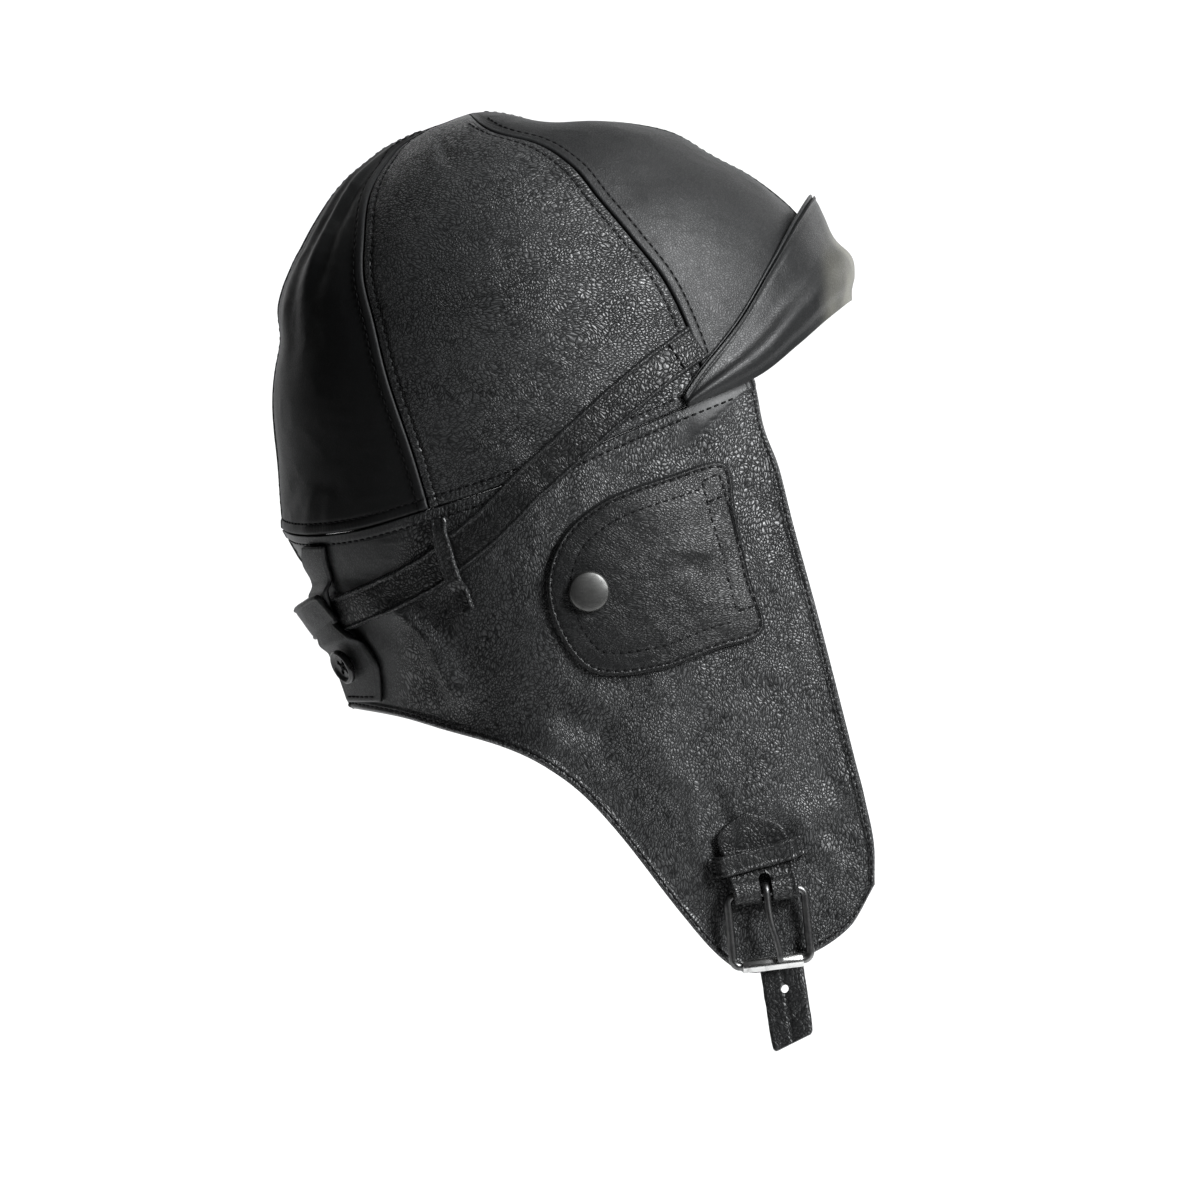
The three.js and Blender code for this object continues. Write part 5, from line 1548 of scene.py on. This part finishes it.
def build_peak():
    turns = np.linspace(-PEAK_HALF_TURN, PEAK_HALF_TURN, 190)
    face_shares = np.linspace(0, 1, 44) ** 1.1
    back_shares = np.linspace(1, 0, 24)
    face, back = len(face_shares), len(back_shares)
    shares = np.concatenate([face_shares, np.ones(len(PEAK_EDGE["stand"])), back_shares])
    stands = np.concatenate([np.ones(face), PEAK_EDGE["stand"], np.zeros(back)])
    beyond = np.concatenate([np.zeros(face), PEAK_EDGE["beyond"], np.zeros(back)])
    turn, share = np.meshgrid(turns, shares, indexing="ij")
    points, upward, outward, fade = peak_face(turn, share, np.broadcast_to(stands, turn.shape))
    points = points + upward * (beyond * (0.3 + 0.7 * fade))[..., None]
    waves = 0.35 * noise(points, size=16, seed=31) + 0.1 * noise(points, size=6, seed=32)
    waves = waves * ease(share * 4)
    ledge = -0.35 * bell((1 - share) * PEAK_HEIGHT * fade - 2.3, 0.5) * (stands == 1)
    points = points + outward * (waves + ledge)[..., None]
    near_tip = ease((-points[..., 1] - FADE_START) / FADE_RUN)
    faded = near_tip * (0.6 + 0.4 * noise(points, size=9, seed=33)) * (stands > 0.5)
    make_piece("leather_peak", *swept_mesh(points), [PEAK_LEATHER], nodes=["peak"],
               values={"rubbed": np.where(share == 1, 0.95, 0.15), "smooth": np.full(turn.shape, 0.25),
                       "faded": np.clip(faded, 0, 1) * 0.5})


# Ear covers


def frame_on_skin(point, normal):
    forward = unit(np.array([0, -1, 0]) + normal * normal[1])
    upward = unit(np.cross(forward, normal))
    upward = upward if upward[2] > 0 else -upward
    return {"origin": point, "forward": forward, "upward": upward, "outward": normal}


def in_frame(place, along, up):
    start = place["origin"] + place["forward"] * along + place["upward"] * up
    return skin.hit(start + place["outward"] * 60, -place["outward"])


ear_frame = frame_on_skin(*skin.from_side(PATCH_FORE * CROWN_HALF_LENGTH, PATCH_DOWN * SKIRT_DEPTH))


def rim_curve(count):
    """Closed centripetal curve through the corners of the ear cover, evenly spaced"""
    corners = np.stack([PATCH_OUTLINE["along"] * PATCH_LENGTH, PATCH_OUTLINE["up"] * PATCH_HEIGHT], -1)
    total = len(corners)
    dense = []
    for i in range(total):
        p = [corners[(i + k - 1) % total] for k in range(4)]
        knots = [0.0]
        for k in range(3):
            knots.append(knots[-1] + math.sqrt(max(np.linalg.norm(p[k + 1] - p[k]), 1e-6)))
        for t in np.linspace(knots[1], knots[2], 24, endpoint=False):
            a = [(knots[k + 1] - t) / (knots[k + 1] - knots[k]) * p[k]
                 + (t - knots[k]) / (knots[k + 1] - knots[k]) * p[k + 1] for k in range(3)]
            b = [(knots[k + 2] - t) / (knots[k + 2] - knots[k]) * a[k]
                 + (t - knots[k]) / (knots[k + 2] - knots[k]) * a[k + 1] for k in range(2)]
            dense.append((knots[2] - t) / (knots[2] - knots[1]) * b[0]
                         + (t - knots[1]) / (knots[2] - knots[1]) * b[1])
    dense = np.array(dense + dense[:1])
    run = run_along(dense)
    return points_at(dense, run, np.linspace(0, run[-1], count, endpoint=False))


RIM = rim_curve(240)
RIM_ANGLE = np.arctan2(RIM[:, 1], RIM[:, 0])
RIM_ORDER = np.argsort(RIM_ANGLE)


def rim_share(along, up):
    """How far out a place of the ear cover lies, 1 on its rim"""
    reach = np.hypot(RIM[RIM_ORDER, 0], RIM[RIM_ORDER, 1])
    at = np.interp(np.arctan2(up, along), RIM_ANGLE[RIM_ORDER], reach, period=2 * np.pi)
    return np.hypot(along, up) / at


def rim_distance(along, up):
    along = np.asarray(along)[..., None]
    up = np.asarray(up)[..., None]
    return np.hypot(along - RIM[:, 0], up - RIM[:, 1]).min(-1)


# Sewn lines of the ear cover, as places in its own plane, along and up in mm
PATCH_FRONT_OUTER = [(21.6, 30.6), (25.3, 18.2), (30.6, 0.8), (33.4, -9.2), (36.3, -21.0)]
PATCH_FRONT_INNER = [(15.3, 27.9), (18.8, 14.6), (22.6, 2.4), (25.8, -10.8), (27.6, -17.6)]
PATCH_OUTER_ROW = 1.9
PATCH_INNER_ROW = 8.2
DIMPLE = (13.0, -2.0)
BOX_STITCH = (1.6, -5.6)  # from the box's lower corner to the outer line's end


def path_distance(along, up, path):
    best = np.full(np.shape(along), 1e9)
    for start, end in zip(path, path[1:]):
        best = np.minimum(best, segment_distance(along, up, start, end)[0])
    return best


def front_line(up):
    """Where the inner sewn line of the ear cover's front lies at a height"""
    return np.interp(up, *np.array(PATCH_FRONT_INNER[::-1]).T[::-1])


def hill(along, up, wide, tall):
    return np.exp(-(along / wide) ** 2 - (up / tall) ** 2)


def patch_height(along, up):
    """Height of the ear cover's outer face over its seat"""
    rim = rim_distance(along, up)
    loft = PATCH_LOFT * (1 - np.clip(rim_share(along, up), 0, 1) ** 3)
    edge = -1.1 * bell(rim, 0.7) + 0.22 * bell(rim - 0.95, 0.6)
    inner = ease((front_line(up) - along) / 1.5 + 0.5)
    rows = -0.36 * bell(rim - PATCH_OUTER_ROW, 0.42)
    rows = rows - 0.34 * bell(rim - PATCH_INNER_ROW, 0.45) * inner
    rows = rows - 0.36 * bell(path_distance(along, up, PATCH_FRONT_OUTER), 0.42)
    rows = rows - 0.34 * bell(path_distance(along, up, PATCH_FRONT_INNER), 0.42)
    dimple = -0.9 * hill(along - DIMPLE[0], up - DIMPLE[1], 4.5, 3.4)
    swell = 0.5 * hill(along - DIMPLE[0] + 4, up - DIMPLE[1] - 6, 7, 5)
    place = np.stack([along, up, 0 * along], -1)
    wave = 0.22 * noise(place, size=12, seed=41) + 0.07 * noise(place, size=4.5, seed=42)
    return PATCH_THICKNESS + loft + edge + rows + dimple + swell + wave * ease(rim / 3)


def patch_point(along, up, below=0.0):
    point, normal = in_frame(ear_frame, float(along), float(up))
    return point + normal * (SEAT + float(patch_height(np.array(along), np.array(up))) - below), normal


def inset_rim(distance):
    """The rim moved inwards, without the places where it would fold over"""
    along = unit(np.roll(RIM, -2, 0) - np.roll(RIM, 2, 0))
    inward = np.stack([-along[:, 1], along[:, 0]], -1)
    facing = np.sign((inward * -RIM).sum(-1, keepdims=True))
    moved = RIM + inward * facing * distance
    return moved[rim_distance(moved[:, 0], moved[:, 1]) > distance * 0.93]


def patch_rows():
    """The ear cover's rows of stitches as places in its plane; the first runs round"""
    outer_rim = inset_rim(PATCH_OUTER_ROW)
    inner_rim = inset_rim(PATCH_INNER_ROW)
    keep = inner_rim[:, 0] < front_line(inner_rim[:, 1]) - 0.5
    turned = np.roll(np.arange(len(inner_rim)), -int(np.argmax(~keep)))
    front_outer = np.array(PATCH_FRONT_OUTER)
    front_inner = np.array(PATCH_FRONT_INNER)
    box_top = np.array([front_inner[0], front_outer[0]])
    box_under = np.array([mix(*front_inner[:2], 0.55), mix(*front_outer[:2], 0.6)])
    box_low = np.array([front_inner[-1], front_outer[-1] - np.array(BOX_STITCH)])
    return [np.concatenate([outer_rim, outer_rim[:1]]), inner_rim[[i for i in turned if keep[i]]],
            front_outer, front_inner, box_top, box_under, box_low]


def build_ear_patches():
    sectors = len(RIM)
    shares = np.concatenate([np.linspace(0.05, 0.82, 24), np.linspace(0.84, 0.955, 10),
                             np.linspace(0.963, 1.0, 8)])
    around = np.arange(sectors) * float(length(RIM[1] - RIM[0]))
    outer, inner, rubbed, gathers = [], [], [], []
    for share in shares:
        line = RIM * share
        rubbed.extend(np.full(sectors, 0.75 if share > 0.985 else 0.0))
        gathers.extend(0.6 * gathered(rim_distance(*line.T), PATCH_OUTER_ROW + 0.6))
        for (along, up), high in zip(line, patch_height(*line.T)):
            point, normal = in_frame(ear_frame, along, up)
            outer.append(point + normal * (SEAT + high))
            inner.append(point + normal * SEAT)
    count = len(outer)
    point, normal = in_frame(ear_frame, 0, 0)
    points = np.array([*outer, *inner, patch_point(0.0, 0.0)[0], point + normal * SEAT])
    side_faces = tube_faces(len(shares), sectors)
    faces = []
    last = count - sectors
    for number, layer in enumerate((0, count)):
        faces.extend((side_faces + layer).tolist())
        faces.extend([2 * count + number, layer + (k + 1) % sectors, layer + k] for k in range(sectors))
    for k in range(sectors):
        a = last + k
        b = last + (k + 1) % sectors
        faces.append([a, b, b + count, a + count])
    under = np.zeros(count + 2)
    values = {"rubbed": [*rubbed, *under], "smooth": np.full(len(points), 0.1),
              "gathers": [*gathers, *under], "run": [*np.tile(around, len(shares)), *under]}
    rows = []
    for row in patch_rows():
        run = run_along(row)
        placed = [patch_point(a, u, 0.02) for a, u in points_at(row, run, np.arange(0, run[-1], 0.8))]
        rows.append([np.array(part) for part in zip(*placed)])
    mirror_pieces("ear_patch", lambda side: (mirrored(points, side), faces, None), [COVER_LEATHER],
                  values, rows)


def build_snaps():
    radius = SNAP_DIAMETER / 2
    profile = [(0, 0), (radius * 0.9, 0), (radius * 0.97, 0.12), (radius, 0.45), (radius * 0.985, 0.8),
               (radius * 0.95, 1.15)]
    dome = [(radius * math.cos(a), 1.15 + (SNAP_HEIGHT - 1.15) * math.sin(a))
            for a in np.linspace(0.32, math.pi / 2, 14)]
    profile = profile + dome[:-1] + [(0, SNAP_HEIGHT)]
    point, normal = in_frame(ear_frame, SNAP_ALONG * PATCH_LENGTH, SNAP_UP * PATCH_HEIGHT)
    rim_share_there = 0.62
    lift = SEAT + PATCH_THICKNESS + PATCH_LOFT * (1 - rim_share_there ** 3) + SLACK_GAP
    for side in SIDES:
        points, faces = lathe_mesh(profile, sides=72)
        placed = turned_onto(points, mirrored(point + normal * lift, side), mirrored(normal, side))
        make_piece(f"snap_cap_{side}", placed, faces, [GUNMETAL], slot="metal_gunmetal",
                   nodes=[f"ear_snap_{side}"])


# Buckle, in its own frame: x forward along the hinge bar, y up the strap and z
# away from the flap, from the flap under the middle of the bar

WIRE_RADIUS = WIRE / 2
INNER_RADIUS = WIRE_RADIUS + PIVOT_CLEAR
BAR_HEIGHT = SEAT + WIRE_RADIUS + PIVOT_CLEAR + PRONG_THICKNESS + 0.3
BAR_TO_ROLLER = BUCKLE_LENGTH - WIRE
ROLLER_HEIGHT = SEAT + ROLLER_DIAMETER / 2 + LAYER_GAP

buckle_seat = frame_on_skin(*skin.from_side(BUCKLE_FORE * CROWN_HALF_LENGTH, BUCKLE_DOWN * SKIRT_DEPTH))


def buckle_axes():
    outward = mirrored(buckle_seat["outward"], "right")
    forward = Vector(mirrored(buckle_seat["forward"], "right"))
    forward.rotate(Matrix.Rotation(math.radians(-BUCKLE_TURN), 3, Vector(outward)))
    forward = np.array(forward)
    return forward, np.cross(outward, forward), outward


BUCKLE_AXES = np.array(buckle_axes())
BUCKLE_ORIGIN = mirrored(buckle_seat["origin"], "right")


def in_buckle(points):
    return np.asarray(points) @ BUCKLE_AXES + BUCKLE_ORIGIN


def wire_rings(path, outward, radius, sides, closed=False, turned=0.5):
    """Round sections along a path, each turned by a share of a side"""
    angle = 2 * np.pi * (np.arange(sides) + turned) / sides
    rings = []
    for i, centre in enumerate(path):
        along = direction_at(path, i, closed)
        across = unit(np.cross(along, outward))
        up = unit(np.cross(across, along))
        rings.append(centre + radius * (np.cos(angle)[:, None] * across + np.sin(angle)[:, None] * up))
    return np.array(rings)


def wire_piece(name, rings, material, body, closed=False):
    """A metal piece of the buckle; its solid is named buckle_ and the same name"""
    points, faces = swept_mesh(rings, closed)
    make_piece(f"wire_{name}", in_buckle(points), faces, [material], body=body, slot="metal_nickel",
               nodes=[f"buckle_{name}"])


def build_buckle_frame():
    half = BUCKLE_WIDTH / 2 - WIRE_RADIUS
    path = []
    places = [(half, 0, 0), (-half, 0, 90), (-half, -BAR_TO_ROLLER, 180), (half, -BAR_TO_ROLLER, 270)]
    for x, y, start in places:
        middle_x = x - math.copysign(BUCKLE_CORNER, x)
        middle_y = y + (BUCKLE_CORNER if y < 0 else -BUCKLE_CORNER)
        for angle in np.radians(start + np.linspace(0, 90, 10)):
            path.append((middle_x + math.cos(angle) * BUCKLE_CORNER,
                         middle_y + math.sin(angle) * BUCKLE_CORNER))
    line = []
    for (x, y), (next_x, next_y) in zip(path, path[1:] + path[:1]):
        steps = max(1, int(math.dist((x, y), (next_x, next_y)) / 1.6))
        for share in np.arange(steps) / steps:
            ahead = mix(y, next_y, share)
            high = mix(BAR_HEIGHT, ROLLER_HEIGHT, min(1, max(0, -ahead / BAR_TO_ROLLER)))
            line.append((mix(x, next_x, share), ahead, high))
    rings = wire_rings(np.array(line), np.array([0, 0, 1.0]), WIRE_RADIUS, sides=20, closed=True)
    wire_piece("frame", rings, NICKEL, "buckle", closed=True)


def build_roller():
    half = BUCKLE_WIDTH / 2 - WIRE_RADIUS - BUCKLE_CORNER - PIVOT_CLEAR
    outer = ROLLER_DIAMETER / 2
    inner = WIRE_RADIUS + ROLLER_CLEAR
    end = [(inner, half - 0.1), (inner + 0.15, half), (outer - 0.35, half), (outer - 0.1, half - 0.12),
           (outer, half - 0.4)]
    profile = [(r, -x) for r, x in end] + end[::-1]
    angle = 2 * np.pi * np.arange(48) / 48
    rings = np.array([[(x, r * math.cos(a), r * math.sin(a)) for r, x in profile] for a in angle])
    wire_piece("roller", rings + np.array([0, -BAR_TO_ROLLER, ROLLER_HEIGHT]), BRIGHT_NICKEL, "roller",
               closed=True)


PRONG_SHAFT = table(
    "down high aside",
    (0, 0, 0), (0.2, 0.1, 0), (0.45, 0.2, 0.02), (0.68, 0.15, 0.07), (0.86, 0.05, 0.095), (0.985, 0, 0.1),
)


def build_prong():
    radius = INNER_RADIUS + PRONG_THICKNESS / 2
    path, outs = [], []
    hook = np.radians(np.linspace(-195, 90, 34))
    for angle in hook:
        out = np.array([0, math.cos(angle), math.sin(angle)])
        path.append(out * radius + np.array([0, 0, BAR_HEIGHT]))
        outs.append(out)
    rest = ROLLER_HEIGHT + ROLLER_DIAMETER / 2 + LAYER_GAP + PRONG_THICKNESS / 2
    start = BAR_HEIGHT + radius
    for down in np.linspace(0.04, 0.985, 34):
        high = float(read(PRONG_SHAFT, "down", "high", down))
        aside = float(read(PRONG_SHAFT, "down", "aside", down))
        path.append(np.array([aside * BAR_TO_ROLLER, -down * BAR_TO_ROLLER,
                              mix(start, rest, down) + high * WIRE]))
        outs.append(np.array([0, 0, 1.0]))
    rings = []
    last = len(path) - 1
    angle = 2 * np.pi * (np.arange(18) + 0.5) / 18
    for i, (centre, out) in enumerate(zip(path, outs)):
        tip = min(1.0, 0.45 + 0.55 * math.sqrt(min(1, (last - i) / 3)))
        wide = PRONG_WIDTH / 2 * tip * (0.82 if len(hook) - 4 < i < last - 2 else 0.9)
        deep = PRONG_THICKNESS / 2 * tip
        rings.append(centre + np.cos(angle)[:, None] * wide * np.array([1.0, 0, 0])
                     + np.sin(angle)[:, None] * deep * out)
    wire_piece("prong", np.array(rings), NICKEL, "prong")


def tab_centreline():
    """Places up the buckle's tab, their height and share of its width, round the bar and back"""
    thick = BUCKLE_TAB_THICKNESS
    low = SEAT + thick / 2
    high = low + thick + LAYER_GAP
    turn = INNER_RADIUS + thick / 2
    under = [(1, low, 0.06), (0.86, low, 0.75), (0.74, low, 1.04), (0.5, low, 1.04),
             (0.28, low, 1.02), (0.12, mix(low, BAR_HEIGHT - turn, 0.6), 1)]
    over = [(0.2, BAR_HEIGHT + turn - thick / 3, 1), (0.36, high + thick * 0.4, 1.02),
            (0.55, high, 1.04), (1, high, 1.04)]
    bend = [(math.cos(angle) * turn, BAR_HEIGHT + math.sin(angle) * turn, 0.98)
            for angle in np.radians(np.linspace(-90, -270, 8))]
    return np.array([(BUCKLE_TAB_LENGTH * up, out, wide) for up, out, wide in under] + bend
                    + [(BUCKLE_TAB_COVER * up, out, wide) for up, out, wide in over])


def smoothed(line, step):
    """A denser line through the same places, rounded a little"""
    run = run_along(line[:, :2])
    wanted = np.linspace(0, run[-1], int(run[-1] / step) + 2)
    columns = [read({"run": run, "value": column}, "run", "value", wanted) for column in line.T]
    return np.stack(columns, -1)


def build_buckle_tab():
    line = smoothed(tab_centreline(), step=0.7)
    lean = math.tan(math.radians(-TAB_LEAN))
    across = np.array([1.0, 0, 0])
    middle = np.stack([0 * line[:, 0], line[:, 0], line[:, 1]], -1)
    rings = []
    for i, (up, out, wide) in enumerate(line):
        outward = unit(np.cross(across, direction_at(middle, i)))
        centre = np.array([-lean * max(0, up), up, out])
        width = BUCKLE_TAB_WIDTH * max(wide, 0.05)
        section = strap_section(width, BUCKLE_TAB_THICKNESS, rolled=0.25)
        rings.append(ring_at(centre, across, outward, section))
    points, faces = swept_mesh(crumple(rings, seed=12, size=3.0, amount=0.14))
    tab = soft_piece("buckle_tab", in_buckle(points), faces, rubbed=0.25)
    half = (PRONG_WIDTH + 4 * PIVOT_CLEAR) / 2
    low = -INNER_RADIUS * 3
    outline = [(math.cos(angle) * half, TAB_SLOT - half + math.sin(angle) * half)
               for angle in np.radians(np.linspace(0, 180, 15))] + [(-half, low), (half, low)]
    slot_points, slot_faces = swept_mesh([[(x, y, z) for x, y in outline]
                                          for z in (-BAR_HEIGHT, BAR_HEIGHT * 3)])
    cut_away(tab, in_buckle(slot_points), slot_faces)
    tab.data.shade_smooth()


def build_keeper():
    inside = BUCKLE_TAB_WIDTH * 0.52 + LAYER_GAP * 2
    thick = KEEPER_THICKNESS
    top = SEAT + 2 * BUCKLE_TAB_THICKNESS + 2 * LAYER_GAP + SLACK_GAP + thick / 2
    foot = SEAT + thick / 2
    half = [(inside + thick * 2.6, foot), (inside + thick * 1.3, foot + thick * 0.06),
            (inside + thick * 0.6, mix(foot, top, 0.45)), (inside + thick * 0.1, top - thick * 0.22),
            (inside * 0.8, top)]
    route = smoothed(np.array(half + [(-x, out) for x, out in half[::-1]]), step=0.7)
    turn = math.radians(KEEPER_LEAN)
    up_axis = np.array([-math.sin(turn), math.cos(turn), 0])
    side_axis = np.array([math.cos(turn), math.sin(turn), 0])
    middle_up = TAB_SLOT + 1.8 + KEEPER_WIDTH / 2
    centres = [side_axis * x + np.array([math.tan(math.radians(TAB_LEAN)) * middle_up, middle_up, out])
               for x, out in route]
    section = strap_section(KEEPER_WIDTH, thick, rolled=0.16)
    rings = [ring_at(centre, up_axis, unit(np.cross(up_axis, direction_at(centres, i))), section)
             for i, centre in enumerate(centres)]
    points, faces = swept_mesh(crumple(rings, seed=13, size=2.6, amount=0.1))
    soft_piece("buckle_keeper", in_buckle(points), faces, rubbed=0.35)


CHIN_WIDTHS = table(
    "down wide",
    (0, 0.9), (0.04, 1), (0.25, 1), (0.75, 1), (0.93, 1), (0.985, 0.96), (1, 0.86),
)
MITRE_DOWN = 64
CHIN_HOLE_DOWN = 0.73


def build_chin_strap():
    start = frame_on_skin(*skin.from_side(CHIN_FORE * CROWN_HALF_LENGTH, CHIN_DOWN * SKIRT_DEPTH))
    outward = start["outward"]
    lean = math.radians(CHIN_LEAN)
    down_axis = -start["upward"] * math.cos(lean) + start["forward"] * math.sin(lean)
    across = unit(np.cross(outward, down_axis))
    lift = SEAT + CHIN_THICKNESS / 2
    rings = []
    for down in np.concatenate([np.linspace(0, 0.96, 110), np.linspace(0.965, 1, 14)]):
        centre = start["origin"] + down_axis * down * CHIN_LENGTH + outward * lift
        width = CHIN_WIDTH * float(read(CHIN_WIDTHS, "down", "wide", down))
        section = strap_section(width, CHIN_THICKNESS, rolled=0.16, count=33)
        seam = 0.55 * bell(section[:, 0], 0.45)
        mitre = 0.5 * bell(down * CHIN_LENGTH - (MITRE_DOWN - np.abs(section[:, 0]) * 0.75), 0.6)
        section[:, 1] = section[:, 1] + (seam + mitre) * (section[:, 1] < 0)
        slant = CHIN_SLANT * min(1, max(0, (down - 0.75) / 0.25))
        rings.append(ring_at(centre, across, outward, section) + down_axis * (section[:, :1] * slant))
    rings = crumple(rings, seed=14, size=3.4, amount=0.16)
    strap = soft_piece("chin_strap", *swept_mesh(rings), rubbed=0.35)
    place = start["origin"] + down_axis * CHIN_LENGTH * CHIN_HOLE_DOWN + outward * lift
    bore(strap, place, outward, radius=CHIN_HOLE / 2, low=-6, high=6, sides=20)


# Camera, lights and backdrop

PHOTO_SIZE = 1200
MM_PER_PIXEL = 0.35
ORIGIN_PIXEL = (565, 419)
CAMERA_DISTANCE = 0.8
KEY_COLOUR = (0.975, 0.988, 1.0)
WORLD_STRENGTH = 0.03


def aimed(obj, target):
    direction = Vector(target) - obj.location
    obj.rotation_euler = direction.to_track_quat("-Z", "Y").to_euler()


def build_camera():
    data = bpy.data.cameras.new("camera")
    camera = place_object("camera", data)
    middle = PHOTO_SIZE / 2
    y = -(middle - ORIGIN_PIXEL[0]) * MM_PER_PIXEL * MM
    z = (ORIGIN_PIXEL[1] - middle) * MM_PER_PIXEL * MM
    camera.location = (-CAMERA_DISTANCE, y, z)
    aimed(camera, (0, y, z))
    data.type = "ORTHO"
    data.ortho_scale = PHOTO_SIZE * MM_PER_PIXEL * MM
    data.clip_end = 60
    bpy.context.scene.camera = camera


def area_light(name, place, target, size, power, colour=(1.0, 1.0, 1.0)):
    """A rectangular light; places are in metres"""
    data = bpy.data.lights.new(name, "AREA")
    data.shape = "RECTANGLE"
    data.size, data.size_y = size
    data.energy = power
    data.color = colour
    light = place_object(name, data)
    light.location = place
    aimed(light, target)


def build_lights():
    area_light("key", (-1.35, -1.3, 1.05), (0, 0, 0), size=(0.6, 1.3), power=102, colour=KEY_COLOUR)
    area_light("top", (-0.3, -0.9, 1.8), (0, 0, 0), size=(0.6, 0.6), power=5)
    area_light("left_fill", (1.0, -1.1, 0.55), (0, 0, -0.05), size=(0.9, 0.9), power=5)
    area_light("rear_edge", (1.6, 1.3, 0.35), (0, 0, 0), size=(0.2, 1.0), power=2.2)
    area_light("backdrop_left", (1.1, 0.9, 1.9), (2.9, 0.4, 0.1), size=(1.0, 1.0), power=14)
    area_light("backdrop_right", (1.1, -0.9, 1.9), (2.9, -0.4, 0.1), size=(1.0, 1.0), power=14)
    world = bpy.data.worlds.new("studio")
    bpy.context.scene.world = world
    world.use_nodes = True
    background = world.node_tree.nodes["Background"]
    background.inputs["Color"].default_value = (1.0, 1.0, 1.0, 1)
    background.inputs["Strength"].default_value = WORLD_STRENGTH
    bpy.context.scene.view_settings.view_transform = "Standard"


BEND_START = -0.1
BEND_RATE = 0.3
BACKDROP_DEPTH = 3.4
BACKDROP_HALF_WIDTH = 1.3
FLOOR_START = -0.5
FLOOR_DROP = 0.3


def build_backdrop():
    """A pale floor that curves up gently into a wall"""
    low = cad_low.z - FLOOR_DROP
    profile = [(FLOOR_START, low), (FLOOR_START + 0.2, low)]
    for x in np.linspace(BEND_START, BACKDROP_DEPTH, 60):
        profile.append((x, low + BEND_RATE * (x - BEND_START) ** 2))
    mesh = bpy.data.meshes.new("backdrop")
    points = [(x, y, z) for x, z in profile
              for y in (-BACKDROP_HALF_WIDTH, BACKDROP_HALF_WIDTH)]
    faces = [(2 * i, 2 * i + 1, 2 * i + 3, 2 * i + 2) for i in range(len(profile) - 1)]
    mesh.from_pydata(points, [], faces)
    mesh.shade_smooth()
    material, tree, shader = new_material("backdrop_paper")
    texture = node(tree, "TexNoise")
    texture.inputs["Scale"].default_value = 3
    base = colour_mix(tree, texture.outputs["Fac"], (0.86, 0.86, 0.86), (0.9, 0.9, 0.9))
    finish_shader(tree, shader, Base_Color=base, Roughness=0.9)
    mesh.materials.append(material)
    place_object("backdrop", mesh)


build_camera()
build_lights()
build_backdrop()
build_gores()
build_crown_stitches()
build_panels()
build_panel_stitches()
build_head_straps()
build_side_loops()
build_rear_tabs()
build_buttons()
build_slide()
build_peak()
build_ear_patches()
build_snaps()
build_buckle_frame()
build_roller()
build_prong()
build_buckle_tab()
build_keeper()
build_chin_strap()
